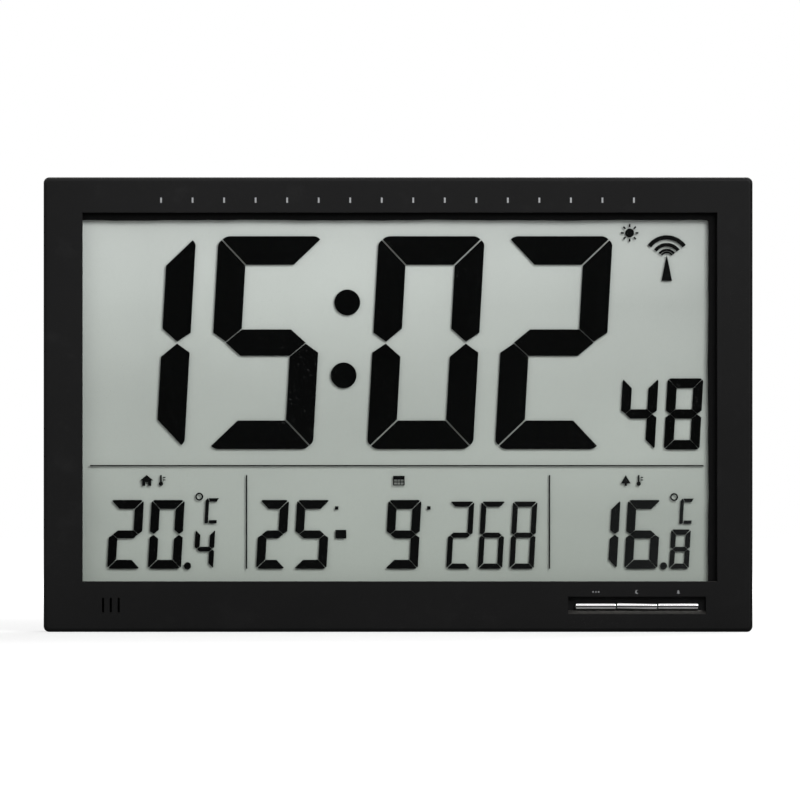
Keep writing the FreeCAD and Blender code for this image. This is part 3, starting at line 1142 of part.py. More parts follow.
def buzzer_leads():
    """Two wires from the back of the buzzer, around the edge of the main board."""
    on_buzzer = FACE_IN + BUZZER_SLACK + BUZZER_H + LEAD_LIFT + BUZZER_LEAD_R
    on_board = MAIN_BACK + LEAD_LIFT + BUZZER_LEAD_R
    turn = MAIN_Z[0] - BUZZER_LEAD_TURN
    wires = []
    for x in (SLOT_XC + out for out in BUZZER_LEAD_X):
        points = [(x, on_buzzer, SLOT_ZC - 1), (x, on_buzzer, turn), (x, on_board, turn),
                  (x, on_board, MAIN_Z[0] + BUZZER_LEAD_END)]
        wires.append(lead(points, BUZZER_LEAD_R))
    return group(wires)


def aerial_leads():
    """Two thin wires from the ends of the winding to the receiver board."""
    start = ROD_Z - COIL_R + COIL_LEAD_UP - LEAD_LIFT - COIL_LEAD_R
    on_board = SMALL_BOARD_Y - LEAD_LIFT - COIL_LEAD_R
    top = RECEIVER_Z[1]
    ends = RECEIVER_X[0] + COIL_LEAD_IN, RECEIVER_X[1] - COIL_LEAD_IN
    return group([lead([(x, ROD_Y, start), (x, on_board, top + COIL_LEAD_RISE),
                        (x, on_board, top - COIL_LEAD_END)], COIL_LEAD_R) for x in ends])


def plug(x, z):
    """Plug at the end of a ribbon, on the main board; z is its lower edge."""
    y = MAIN_BACK + LEAD_LIFT
    return box(x - PLUG_W / 2, x + PLUG_W / 2, y, y + PLUG_H, z, z + PLUG_L)


def button_ribbon():
    """Flat ribbon from the button board to its plug on the main board."""
    y = BUTTON_BOARD_BACK + LEAD_LIFT
    z0 = BUTTON_ZC + BOARD_SCREW["head_r"] + RIBBON_SPARE
    start = BUTTON_POSTS[0][0] + BUTTON_POST_R
    end = PLUG_X - RIBBON_W / 2
    plug_z = MAIN_Z[0] + PLUG_EDGE
    across = box(end, start, y, y + RIBBON_T, z0, z0 + RIBBON_W)
    rise = box(end, end + RIBBON_W, y, y + RIBBON_T, z0, plug_z + PLUG_LAP)
    return union([across, rise, plug(PLUG_X, plug_z)])


def key_ribbon():
    """Flat ribbon from the key board, folded down to its plug on the main board."""
    x = KEY_X + BOARD_SCREW["head_r"] + RIBBON_SPARE + RIBBON_W / 2
    x0, x1 = x - RIBBON_W / 2, x + RIBBON_W / 2
    y = KEY_BOARD_Y - LEAD_LIFT
    low = MAIN_BACK + LEAD_LIFT + RIBBON_SPARE
    fold = MAIN_Z[1] + RIBBON_FOLD
    plug_z = MAIN_Z[1] - PLUG_DOWN
    upper = box(x0, x1, y - RIBBON_T, y, fold, KEY_Z[0] + RIBBON_END)
    across = box(x0, x1, low, y, fold, fold + RIBBON_T)
    lower = box(x0, x1, low, low + RIBBON_T, plug_z + PLUG_L - PLUG_LAP, fold + RIBBON_T)
    return union([upper, across, lower, plug(x, plug_z)])


save("front_bezel", front_bezel())
save("rear_cover", rear_cover())
save("battery_door", battery_door())
save("left_stand_leg", stand_leg(-LEG_X))
save("right_stand_leg", stand_leg(LEG_X))
save("leg_pins", group([leg_pin(-LEG_X), leg_pin(LEG_X)]))

save("window_gasket", window_gasket())
save("front_polariser", glass_sheet(POLARISER_Y, POLARISER_T, GLASS_Z0, POLARISER_INSET))
save("front_glass", glass_sheet(GLASS_Y, GLASS_T, GLASS_Z0, 0))
save("edge_seal", edge_seal())
save("lcd_segments", lcd_segments())
save("lcd_symbols", lcd_symbols())
save("rear_glass", glass_sheet(REAR_GLASS_Y, GLASS_T, REAR_GLASS_Z0, 0))
save("rear_reflector", glass_sheet(REFLECTOR_Y, REFLECTOR_T, REAR_GLASS_Z0, 0))
save("lcd_tray", lcd_tray())
save("rubber_strip", rubber_strip())

for number, name in enumerate(("mode", "snooze", "alarm")):
    save(name + "_button", front_button(number))
    save(name + "_plunger", plunger(BUTTON_XC[number], BUTTON_ZC, STEM_END, 1))
save("front_switches", group([switch_housing(x, BUTTON_ZC, SWITCH_FACE, 1) for x in BUTTON_XC]))
save("button_board", button_board())

for name, height in zip(("down", "up", "reset"), KEY_Z):
    save(name + "_key", rear_key(height))
    save(name + "_plunger", plunger(KEY_X, height, KEY_STEM_END, -1))
save("rear_switches", group([switch_housing(KEY_X, z, KEY_SWITCH_FACE, -1) for z in KEY_Z]))
save("key_board", key_board())

save("main_board", main_board())
save("epoxy_drop", epoxy_drop(-70.0, 52.0))
save("crystals", crystals())
save("capacitors", capacitors())
save("buzzer", buzzer())
save("thermistor", thermistor())
save("ferrite_rod", ferrite_rod())
save("antenna_coil", antenna_coil())
save("receiver_board", receiver_board())
save("sensor_board", sensor_board())
save("sensor_aerial", sensor_aerial())

save("battery_leads", battery_leads())
save("buzzer_leads", buzzer_leads())
save("aerial_leads", aerial_leads())
save("button_ribbon", button_ribbon())
save("key_ribbon", key_ribbon())

save("cells", group([cell(1), cell(-1)]))
save("plus_contact", plus_contact())
save("minus_contact", minus_contact())
save("bridge_contact", bridge_contact())

save("case_screws", group([screw(x, z, JOIN_Y + POST_FLOOR, CASE_SCREW_L, CASE_SCREW)
                           for x, z in CASE_POINTS]))
MAIN_SCREW_L = MAIN_BACK - TRAY_Y - PEG_FLOOR - SEAT_GAP
save("board_screws", group([screw(x, z, MAIN_BACK, MAIN_SCREW_L, BOARD_SCREW) for x, z in MAIN_PEGS]))
save("tray_screws", group([screw(x, z, TRAY_BACK, BOARD_SCREW_L, BOARD_SCREW) for x, z in EAR_POINTS]))
save("button_board_screws", group([screw(x, z, BUTTON_BOARD_BACK, BOARD_SCREW_L, BOARD_SCREW)
                                   for x, z in BUTTON_POSTS]))
save("key_board_screws", group([screw(x, z, KEY_BOARD_Y, BOARD_SCREW_L, BOARD_SCREW, -1)
                                for x, z in KEY_POSTS]))
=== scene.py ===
import math

import bmesh
import bpy
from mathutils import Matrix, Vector


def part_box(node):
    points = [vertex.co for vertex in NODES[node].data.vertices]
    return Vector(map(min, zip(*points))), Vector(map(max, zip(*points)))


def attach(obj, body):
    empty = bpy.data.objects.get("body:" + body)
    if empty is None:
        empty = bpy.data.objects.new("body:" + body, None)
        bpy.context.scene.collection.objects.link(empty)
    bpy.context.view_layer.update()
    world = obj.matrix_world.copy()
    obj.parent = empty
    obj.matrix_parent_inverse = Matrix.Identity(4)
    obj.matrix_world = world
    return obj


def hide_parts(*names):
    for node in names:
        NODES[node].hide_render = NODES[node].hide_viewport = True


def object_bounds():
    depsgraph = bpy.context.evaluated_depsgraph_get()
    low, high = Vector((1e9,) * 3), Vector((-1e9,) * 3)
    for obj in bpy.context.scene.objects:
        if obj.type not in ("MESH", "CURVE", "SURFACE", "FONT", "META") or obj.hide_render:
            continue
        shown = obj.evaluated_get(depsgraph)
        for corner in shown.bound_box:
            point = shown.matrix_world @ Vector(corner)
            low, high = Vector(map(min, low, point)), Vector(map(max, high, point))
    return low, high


bl_info = {
    "name": "Radio-controlled wall clock finish",
    "version": (1, 0, 0),
    "blender": (4, 5, 0),
    "location": "View3D > Sidebar > Clock",
    "description": "Finishes, printed marks, foam and screws of a wall clock, and its studio",
    "category": "Object",
}

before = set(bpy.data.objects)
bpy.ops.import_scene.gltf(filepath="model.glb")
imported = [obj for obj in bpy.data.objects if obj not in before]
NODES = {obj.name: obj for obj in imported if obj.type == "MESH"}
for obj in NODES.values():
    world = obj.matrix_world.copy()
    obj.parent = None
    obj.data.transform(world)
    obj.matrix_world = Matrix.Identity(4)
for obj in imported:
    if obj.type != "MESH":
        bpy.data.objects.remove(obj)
CAD_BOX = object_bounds()
MM = 0.001
FULL_TURN = 2 * math.pi
WHITE = (1.0, 1.0, 1.0, 1.0)

# Sockets of a Mix node in its colour form, and the usual reach of a noise
MIX_FACTOR, MIX_FIRST, MIX_SECOND, MIX_RESULT = 0, 6, 7, 2
NOISE_LOW, NOISE_HIGH = 0.3, 0.7

# Printed marks stand this far out of their face, and reach this far into it
PROUD = 0.008 * MM
SUNK = 0.05 * MM

FRONT_BUTTONS = ("mode_button", "snooze_button", "alarm_button")
REAR_KEYS = ("down_key", "up_key", "reset_key")


# Shader nodes

def feed(tree, socket, value):
    """Links a socket to another one, or sets its value."""
    if isinstance(value, bpy.types.NodeSocket):
        tree.links.new(value, socket)
    else:
        socket.default_value = value


def add(tree, kind, inputs=None, **settings):
    """Adds a node, sets its settings and fills its inputs with values or links."""
    node = tree.nodes.new(kind)
    for key, value in settings.items():
        setattr(node, key, value)
    for key, value in (inputs or {}).items():
        feed(tree, node.inputs[key], value)
    return node


def ramp(tree, factor, low, high, start=0.0, end=1.0, kind="LINEAR"):
    """Maps a factor from one range onto another, held at its ends."""
    node = add(tree, "ShaderNodeMapRange", {"Value": factor, "From Min": low, "From Max": high,
                                            "To Min": start, "To Max": end}, interpolation_type=kind)
    return node.outputs["Result"]


def spread(tree, waves, start=0.0, end=1.0):
    """Maps the usual reach of a noise onto a range."""
    return ramp(tree, waves, NOISE_LOW, NOISE_HIGH, start, end)


def calc(tree, operation, first, second=0.0):
    """Sum, product or comparison of two values."""
    return add(tree, "ShaderNodeMath", {0: first, 1: second}, operation=operation).outputs["Value"]


def product(tree, first, *others):
    """Product of several values."""
    for other in others:
        first = calc(tree, "MULTIPLY", first, other)
    return first


def mixed(tree, factor, first, second):
    """Value between two others."""
    return calc(tree, "ADD", first, product(tree, factor, calc(tree, "SUBTRACT", second, first)))


def blend(tree, factor, first, second):
    """Mixes two colours."""
    node = add(tree, "ShaderNodeMix", data_type="RGBA")
    for key, value in ((MIX_FACTOR, factor), (MIX_FIRST, first), (MIX_SECOND, second)):
        feed(tree, node.inputs[key], value)
    return node.outputs[MIX_RESULT]


def scaled(tree, colour, level):
    """Colour times a value."""
    return add(tree, "ShaderNodeVectorMath", {0: colour, "Scale": level}, operation="SCALE").outputs["Vector"]


def noise(tree, vector, scale, detail=2.0, roughness=0.5):
    """Noise over the surface, scaled in waves per metre."""
    return add(tree, "ShaderNodeTexNoise", {"Vector": vector, "Scale": scale, "Detail": detail,
                                            "Roughness": roughness}).outputs["Fac"]


def pores(tree, vector, scale):
    """Distance to the nearest of many scattered points."""
    return add(tree, "ShaderNodeTexVoronoi", {"Vector": vector, "Scale": scale}).outputs["Distance"]


def bands(tree, vector, scale, axis):
    """Straight bands across an axis."""
    return add(tree, "ShaderNodeTexWave", {"Vector": vector, "Scale": scale}, bands_direction=axis).outputs["Fac"]


def object_point(tree):
    """Place on the object, in metres."""
    return add(tree, "ShaderNodeTexCoord").outputs["Object"]


def axes(tree, vector):
    """The X, Y and Z of a vector."""
    return add(tree, "ShaderNodeSeparateXYZ", {"Vector": vector}).outputs


def stretched(tree, vector, scale):
    """Vector stretched by three factors."""
    return add(tree, "ShaderNodeMapping", {"Vector": vector, "Scale": scale}).outputs["Vector"]


def rgba(colour, level=1.0):
    """Colour times a level, with a full alpha."""
    return (*(part * level for part in colour), 1.0)


def socket_kind(label):
    """Kind of a group's socket: only the one that is named Colour holds a colour."""
    return "NodeSocketColor" if label == "Colour" else "NodeSocketFloat"


def start_group(name, inputs, outputs):
    """Empty node group with named sockets; returns it with its given values and its output sockets."""
    group = bpy.data.node_groups.new(name, "ShaderNodeTree")
    for label, value in inputs.items():
        socket = group.interface.new_socket(label, in_out="INPUT", socket_type=socket_kind(label))
        socket.default_value = value
    for label in outputs:
        group.interface.new_socket(label, in_out="OUTPUT", socket_type=socket_kind(label))
    return group, group.nodes.new("NodeGroupInput").outputs, group.nodes.new("NodeGroupOutput").inputs


def moulded_grain_group():
    """Spark-eroded mould texture: fine grain, slow tone changes and rubbed patches."""
    rubbed_tone = (0.09, 0.09, 0.09, 1.0)
    group, given, out = start_group(
        "Moulded grain", {"Colour": (0.02, 0.02, 0.02, 1.0), "Grain": 2600.0, "Roughness": 0.5, "Rub": 0.3},
        ("Colour", "Roughness", "Height"))
    place = object_point(group)
    fine = noise(group, place, given["Grain"], 3.0, 0.6)
    pits = pores(group, place, given["Grain"])
    slow = noise(group, place, 14.0, 4.0)
    rub = product(group, ramp(group, noise(group, place, 55.0, 5.0, 0.65), 0.56, 0.74), given["Rub"])
    level = product(group, spread(group, slow, 0.86, 1.12), spread(group, fine, 0.84, 1.16))
    tone = scaled(group, given["Colour"], level)
    rough = calc(group, "ADD", given["Roughness"], spread(group, slow, -0.04, 0.05))
    feed(group, out["Colour"], blend(group, product(group, rub, 0.18), tone, rubbed_tone))
    feed(group, out["Roughness"], calc(group, "SUBTRACT", rough, product(group, rub, 0.12)))
    feed(group, out["Height"], calc(group, "ADD", fine, product(group, pits, 0.5)))
    return group


def dust_group():
    """Sparse specks of dust that settle mostly on faces that look up, and a film that lies only there."""
    group, given, out = start_group("Dust", {"Amount": 0.3, "Scale": 900.0}, ("Mask", "Film"))
    place = object_point(group)
    specks = ramp(group, pores(group, place, given["Scale"]), 0.05, 0.16, 1.0, 0.0)
    patches = ramp(group, noise(group, place, 30.0, 3.0), 0.5, 0.7)
    upward = axes(group, add(group, "ShaderNodeNewGeometry").outputs["Normal"])["Z"]
    lying = ramp(group, upward, -0.2, 1.0, 0.2, 1.0)
    cloudy = spread(group, noise(group, place, 420.0, 4.0), 0.62, 0.95)
    feed(group, out["Mask"], product(group, specks, patches, lying, given["Amount"]))
    feed(group, out["Film"], product(group, ramp(group, upward, 0.5, 0.95), cloudy))
    return group


def scratches_group():
    """Fine straight scratches in two directions."""
    group, given, out = start_group("Fine scratches", {"Length": 60.0, "Fineness": 4000.0}, ("Mask", "Height"))
    parts = axes(group, object_point(group))
    lines = []
    for along, across in (("X", "Z"), ("Z", "X")):
        turned = add(group, "ShaderNodeCombineXYZ", {"X": product(group, parts[along], given["Length"]),
                                                     "Y": product(group, parts["Y"], given["Fineness"]),
                                                     "Z": product(group, parts[across], given["Fineness"])})
        lines.append(noise(group, turned.outputs["Vector"], 1.0))
    both = calc(group, "ADD", lines[0], product(group, lines[1], 0.5))
    feed(group, out["Mask"], ramp(group, both, 0.7, 1.0))
    feed(group, out["Height"], both)
    return group


GROUPS = {}


def group_node(tree, name, inputs):
    """Places a shared effect in a material."""
    if not GROUPS:
        GROUPS.update(grain=moulded_grain_group(), dust=dust_group(), scratches=scratches_group())
    return add(tree, "ShaderNodeGroup", inputs, node_tree=GROUPS[name]).outputs


def bump(tree, height, distance, strength=1.0):
    """Normal from a height in metres."""
    return add(tree, "ShaderNodeBump", {"Height": height, "Distance": distance, "Strength": strength}
               ).outputs["Normal"]


def start_material(name):
    """New material; returns it with its node tree, its principled shader and the place on the object."""
    material = bpy.data.materials.new(name)
    material.use_nodes = True
    tree = material.node_tree
    return material, tree, tree.nodes["Principled BSDF"], object_point(tree)


def plug(tree, shader, **sockets):
    """Sets or links the shader's sockets; an underscore stands for a space."""
    for key, value in sockets.items():
        feed(tree, shader.inputs[key.replace("_", " ")], value)


# Finishes

def moulded_plastic(name, colour, roughness=0.5, grain=2600.0, depth=0.012, rub=0.3, dust=0.25, shine=0.13,
                    painted_light_ramps=(), painted_bounce_ledge=None):
    """Moulded plastic with grain and a little dust; painted light and shade can change its tone along an axis, and a
    ledge can take painted bounce light in the dust's colour.
    """
    dust_and_painted_light_tone = (0.35, 0.34, 0.32, 1.0)
    soft_end = 2 * MM
    material, tree, shader, place = start_material(name)
    skin = group_node(tree, "grain", {"Colour": rgba(colour), "Grain": grain, "Roughness": roughness, "Rub": rub})
    specks = group_node(tree, "dust", {"Amount": dust})
    base = skin["Colour"]
    parts = axes(tree, place)
    # Painted light and shade: the tone is scaled along each listed axis, as light falls on it.
    for axis, start, end, first, last in painted_light_ramps:
        base = scaled(tree, base, ramp(tree, parts[axis], start, end, first, last))
    # Dust film; on the ledge it also carries painted bounce light.
    film = dust * 0.5
    # Painted bounce light: the ledge under the front buttons is lightened towards its deep end, in the dust colour, as
    # if lit from the chrome bars.
    if painted_bounce_ledge:
        left, right, top, shallow, deep = painted_bounce_ledge
        from_left = ramp(tree, parts["X"], left - soft_end, left + soft_end)
        from_right = ramp(tree, parts["X"], right - soft_end, right + soft_end, 1.0, 0.0)
        under = ramp(tree, parts["Z"], top, top + 0.5 * MM, 1.0, 0.0)
        inward = calc(tree, "POWER", ramp(tree, parts["Y"], shallow, deep), 1.5)
        film = calc(tree, "ADD", film, product(tree, from_left, from_right, under, inward))
    cover = calc(tree, "MAXIMUM", specks["Mask"], product(tree, specks["Film"], film))
    plug(tree, shader, Base_Color=blend(tree, cover, base, dust_and_painted_light_tone), Roughness=skin["Roughness"],
         Specular_IOR_Level=shine, Normal=bump(tree, skin["Height"], depth * MM))
    return material


def foam(name, colour):
    """Open foam: dark, matt and pitted."""
    material, tree, shader, place = start_material(name)
    pits = pores(tree, place, 2200.0)
    tone = blend(tree, ramp(tree, pits, 0.1, 0.6), rgba(colour, 0.5), rgba(colour))
    plug(tree, shader, Base_Color=tone, Roughness=ramp(tree, pits, 0.1, 0.6, 0.95, 0.8),
         Specular_IOR_Level=0.08, Normal=bump(tree, pits, 0.08 * MM))
    return material


def display_film(name, tint, veil):
    """Anti-glare film: nearly clear, with a fine etched surface."""
    material, tree, shader, place = start_material(name)
    etched = noise(tree, place, 5200.0)
    smears = noise(tree, stretched(tree, place, (5.0, 5.0, 9.0)), 1.0, 4.0)
    specks = group_node(tree, "dust", {"Amount": 0.3, "Scale": 420.0})
    alpha = calc(tree, "ADD", ramp(tree, smears, 0.35, 0.7, veil, veil * 1.6), specks["Mask"])
    plug(tree, shader, Base_Color=rgba(tint), Alpha=alpha,
         Roughness=ramp(tree, smears, 0.35, 0.7, 0.42, 0.5), Normal=bump(tree, etched, 0.002 * MM))
    return material


def clear_glass(name, tint, veil):
    """Thin clear sheet with a faint tint at its cut edges."""
    material, tree, shader, place = start_material(name)
    edge = add(tree, "ShaderNodeLayerWeight", {"Blend": 0.3}).outputs["Facing"]
    plug(tree, shader, Base_Color=rgba(tint), Alpha=ramp(tree, edge, 0.4, 1.0, veil, 0.5),
         Roughness=spread(tree, noise(tree, place, 9.0), 0.03, 0.06))
    return material


def dark_crystal(name, colour, weak_middle, weak_right):
    """Lit liquid crystal: nearly black, and lighter in the lower row, most of all at its right."""
    material, tree, shader, place = start_material(name)
    parts = axes(tree, place)
    drive = spread(tree, noise(tree, place, 11.0, 3.0))
    lower_row = ramp(tree, parts["Z"], 80 * MM, 88 * MM, 1.0, 0.0)
    weak = product(tree, ramp(tree, parts["X"], -160 * MM, -60 * MM, 1.0, weak_middle),
                   ramp(tree, parts["X"], 40 * MM, 105 * MM, 1.0, weak_right))
    tone = blend(tree, drive, rgba(colour), rgba(colour, 1.7))
    plug(tree, shader, Base_Color=scaled(tree, tone, mixed(tree, lower_row, 1.0, weak)),
         Roughness=spread(tree, noise(tree, place, 900.0), 0.5, 0.6), Specular_IOR_Level=0.0)
    return material


def reflector(name, colour, low, high):
    """Diffuse reflector behind the glass: grey-green and cloudy, with painted light and shade that make it lighter at
    the top, darker below and towards its right side, and lighter along its left edge above the foot.
    """
    material, tree, shader, place = start_material(name)
    parts = axes(tree, place)
    foot_tint = (0.985, 1.02, 0.97)

    def by_height(start, end, first, last, kind="LINEAR"):
        """Level that changes between two shares of the height."""
        return ramp(tree, parts["Z"], low + start * (high - low), low + end * (high - low), first, last, kind)

    # Painted light and shade: levels across, by height and along the left edge, set as light from above and the
    # bezel's shade would fall.
    upper, middle, foot = [ramp(tree, parts["X"], -30 * MM, 160 * MM, *levels)
                           for levels in ((0.95, 0.70), (1.05, 1.02), (1.05, 0.86))]
    painted_left_edge_light = [ramp(tree, parts["X"], -165 * MM, -130 * MM, level) for level in (1.1, 0.96)]
    near_foot = by_height(0.18, 0.34, 1.0, 0.0)
    across = mixed(tree, by_height(0.47, 0.73, 1.0, 0.0), upper, middle)
    level = product(
        tree, by_height(0.43, 0.86, 0.69, 1.0, "SMOOTHSTEP"), by_height(0.0, 0.14, 0.96, 0.985),
        mixed(tree, near_foot, across, foot), mixed(tree, near_foot, *painted_left_edge_light))
    clouds = noise(tree, stretched(tree, place, (9.0, 9.0, 13.0)), 1.0, 3.0)
    fleck = noise(tree, place, 3800.0)
    level = product(tree, level, spread(tree, clouds, 0.955, 1.04), spread(tree, fleck, 0.965, 1.03))
    green = blend(tree, by_height(0.0, 1.0, 1.0, 0.0), rgba(colour), rgba([c * t for c, t in zip(colour, foot_tint)]))
    plug(tree, shader, Base_Color=scaled(tree, green, level), Roughness=spread(tree, fleck, 0.7, 0.85),
         Specular_IOR_Level=0.1, Normal=bump(tree, fleck, 0.004 * MM))
    return material


def bright_metal(name, colour, roughness, fineness=4000.0, scratch=0.1, plating_and_groove_shade=None):
    """Plated or bare metal with fine scratches; its rear part stays bare and black, and a black band along its groove
    is painted shade.
    """
    plated_depth, groove_shade_half = 2.6 * MM, 0.36 * MM
    bare_and_groove_shade_tone = (0.004, 0.004, 0.004, 1.0)
    material, tree, shader, place = start_material(name)
    marks = group_node(tree, "scratches", {"Fineness": fineness})
    tarnish = ramp(tree, noise(tree, place, 120.0, 4.0), 0.35, 0.7)
    tone = blend(tree, tarnish, rgba(colour), rgba(colour, 0.9))
    rough = calc(tree, "ADD", ramp(tree, tarnish, 0.0, 1.0, roughness, roughness * 1.3),
                 product(tree, marks["Mask"], scratch))
    metallic = 1.0
    if plating_and_groove_shade:
        front, groove_z = plating_and_groove_shade
        parts = axes(tree, place)
        behind = ramp(tree, parts["Y"], front + plated_depth, front + plated_depth + 0.1 * MM)
        # Painted shade: a black band of fixed width along the groove, whatever its depth.
        near = ramp(tree, calc(tree, "ABSOLUTE", calc(tree, "SUBTRACT", parts["Z"], groove_z)),
                    groove_shade_half, groove_shade_half + 0.06 * MM, 1.0, 0.0)
        metallic = calc(tree, "SUBTRACT", 1.0, calc(tree, "MAXIMUM", behind, near))
        tone = blend(tree, metallic, bare_and_groove_shade_tone, tone)
        rough = calc(tree, "MAXIMUM", rough, ramp(tree, metallic, 0.0, 1.0, 0.5, 0.0))
    plug(tree, shader, Base_Color=tone, Roughness=rough, Metallic=metallic,
         Normal=bump(tree, marks["Height"], 0.0015 * MM, 0.5))
    return material


def circuit_board(name, mask, copper):
    """Solder mask over copper tracks, with tinned pads."""
    material, tree, shader, place = start_material(name)
    parts = axes(tree, place)
    flat = add(tree, "ShaderNodeCombineXYZ", {"X": parts["X"], "Y": parts["Z"]}).outputs["Vector"]
    turned = add(tree, "ShaderNodeMapping", {"Vector": flat, "Rotation": (0.0, 0.0, math.pi / 4)}).outputs["Vector"]
    areas = ramp(tree, noise(tree, flat, 60.0, 1.0), 0.46, 0.54)
    runs = blend(tree, areas, bands(tree, flat, 210.0, "X"), bands(tree, turned, 150.0, "Y"))
    track = ramp(tree, runs, 0.62, 0.66)
    pads = ramp(tree, pores(tree, flat, 190.0), 0.16, 0.19, 1.0, 0.0)
    tone = blend(tree, pads, blend(tree, track, rgba(mask), rgba(mask, 1.7)), rgba(copper))
    plug(tree, shader, Base_Color=tone, Metallic=pads, Roughness=ramp(tree, pads, 0.0, 1.0, 0.35, 0.28),
         Normal=bump(tree, calc(tree, "ADD", track, pads), 0.03 * MM))
    return material


def wound_wire(name, colour, axis, pitch):
    """Close turns of enamelled wire around an axis."""
    material, tree, shader, place = start_material(name)
    turns = bands(tree, place, math.pi / (10.0 * pitch), axis)
    plug(tree, shader, Base_Color=blend(tree, turns, rgba(colour, 0.35), rgba(colour)),
         Metallic=ramp(tree, turns, 0.0, 1.0, 0.3, 0.8), Roughness=ramp(tree, turns, 0.0, 1.0, 0.55, 0.3),
         Normal=bump(tree, turns, 0.12 * MM))
    return material


def cell_jacket(name, body, band, steel, middle_z, band_from):
    """Foil jacket of two cells laid head to tail: body, band at the plus end and bare steel ends."""
    line_tone = (0.7, 0.7, 0.68, 1.0)
    line_out, line_half, shift, jacket_half = 2 * MM, 0.3 * MM, 0.6 * MM, 24.2 * MM
    material, tree, shader, place = start_material(name)
    parts = axes(tree, place)
    upper = calc(tree, "GREATER_THAN", parts["Z"], middle_z)
    along = product(tree, parts["X"], ramp(tree, upper, 0.0, 1.0, -1.0, 1.0))
    banded = ramp(tree, along, band_from, band_from + 0.2 * MM)
    from_line = calc(tree, "ABSOLUTE", calc(tree, "SUBTRACT", along, band_from - line_out))
    line = ramp(tree, from_line, line_half, line_half + 0.2 * MM, 1.0, 0.0)
    from_middle = calc(tree, "ABSOLUTE", calc(tree, "ADD", along, shift))
    bare = ramp(tree, from_middle, jacket_half, jacket_half + 0.2 * MM)
    foil = noise(tree, stretched(tree, place, (40.0, 700.0, 700.0)), 1.0, 3.0)
    tone = blend(tree, banded, rgba(body), rgba(band))
    tone = blend(tree, bare, blend(tree, line, tone, line_tone), rgba(steel))
    plug(tree, shader, Base_Color=tone, Metallic=ramp(tree, bare, 0.0, 1.0, 0.6, 1.0),
         Roughness=spread(tree, foil, 0.26, 0.4), Normal=bump(tree, foil, 0.01 * MM))
    return material


def wavy_coat(name, colour, scale, detail, tint, gloss, depth):
    """Smooth coat with slow waves of tone and gloss."""
    material, tree, shader, place = start_material(name)
    waves = noise(tree, place, scale, detail)
    plug(tree, shader, Base_Color=blend(tree, spread(tree, waves), rgba(colour), rgba(colour, tint)),
         Roughness=spread(tree, waves, *gloss), Normal=bump(tree, waves, depth * MM))
    return material


def insulation(name, colour):
    """Soft plastic insulation with slow changes of tone and gloss."""
    return wavy_coat(name, colour, 300.0, 3.0, 0.7, (0.34, 0.5), 0.03)


def glossy_drop(name, colour):
    """Poured epoxy or a shiny coat: deep gloss with slow waves."""
    return wavy_coat(name, colour, 220.0, 2.0, 1.5, (0.12, 0.22), 0.15)


def rubber(name, colour):
    """Moulded rubber: matt, with a soft sheen and fine pores."""
    material, tree, shader, place = start_material(name)
    slow = noise(tree, place, 60.0, 3.0)
    plug(tree, shader, Base_Color=blend(tree, spread(tree, slow), rgba(colour, 0.85), rgba(colour)),
         Roughness=spread(tree, slow, 0.62, 0.74), Sheen_Weight=0.15,
         Normal=bump(tree, noise(tree, place, 3400.0, 3.0), 0.012 * MM))
    return material


def ink(name, colour, cover):
    """Pad-printed ink, a little thin in places."""
    under_tone = (0.06, 0.06, 0.06, 1.0)
    material, tree, shader, place = start_material(name)
    thin = noise(tree, place, 2400.0, 3.0)
    tone = blend(tree, ramp(tree, thin, 0.35, 0.65, 1.0 - cover, 0.0), rgba(colour), under_tone)
    plug(tree, shader, Base_Color=tone, Roughness=spread(tree, thin, 0.55, 0.7),
         Normal=bump(tree, thin, 0.004 * MM))
    return material


def give(material, *names):
    """Puts one material on CAD nodes."""
    for name in names:
        for slot in NODES[name].material_slots:
            slot.material = material


# Mesh pieces

def centre(node):
    """Middle of a CAD node's box."""
    return [(low + high) / 2 for low, high in zip(*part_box(node))]


def new_piece(name, mesh_maker, material, body="case"):
    """Object from a bmesh, which rides on a body and takes a slot's finish."""
    mesh = bpy.data.meshes.new(name)
    work = bmesh.new()
    mesh_maker(work)
    bmesh.ops.recalc_face_normals(work, faces=work.faces)
    work.to_mesh(mesh)
    work.free()
    piece = bpy.data.objects.new(name, mesh)
    bpy.context.scene.collection.objects.link(piece)
    mesh.materials.append(material)
    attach(piece, body)
    return piece


def ring(work, points):
    """New corners at some points."""
    return [work.verts.new(point) for point in points]


def walls(work, near, far):
    """Faces between two closed rings of as many corners."""
    count = len(near)
    return [work.faces.new((near[i], near[(i + 1) % count], far[(i + 1) % count], far[i])) for i in range(count)]


def slab(work, outline, y0, y1):
    """Closed slab from an (x, z) outline between two depths."""
    near = ring(work, ((x, y0, z) for x, z in outline))
    far = ring(work, ((x, y1, z) for x, z in outline))
    work.faces.new(near)
    work.faces.new(far[::-1])
    walls(work, far, near)


def oval(x, z, radius, steps=20):
    """Round outline."""
    return [(x + radius * math.cos(FULL_TURN * i / steps), z + radius * math.sin(FULL_TURN * i / steps))
            for i in range(steps)]


def oblong(x0, z0, x1, z1):
    """Oblong outline between two corners."""
    return [(x0, z0), (x1, z0), (x1, z1), (x0, z1)]


def bar(x, z, width, height):
    """Oblong outline around its centre."""
    return oblong(x - width / 2, z - height / 2, x + width / 2, z + height / 2)


def foam_edge(inner, corner, step):
    """Points of a rounded rectangle, anticlockwise, each with its outward direction."""
    corner_steps = 6
    (x0, z0), (x1, z1) = inner
    hubs = ((x1 - corner, z1 - corner), (x0 + corner, z1 - corner),
            (x0 + corner, z0 + corner), (x1 - corner, z0 + corner))
    points = []
    for turn, (hub_x, hub_z) in enumerate(hubs):
        for i in range(corner_steps + 1):
            angle = (turn + i / corner_steps) * math.pi / 2
            points.append((hub_x + corner * math.cos(angle), hub_z + corner * math.sin(angle),
                           math.cos(angle), math.sin(angle)))
        x, z, out_x, out_z = points[-1]
        next_x, next_z = hubs[(turn + 1) % 4]
        length = abs(next_x - hub_x) + abs(next_z - hub_z)
        count = int(length / step)
        for i in range(1, count):
            along = length * i / count
            points.append((x - out_z * along, z + out_x * along, out_x, out_z))
    return points


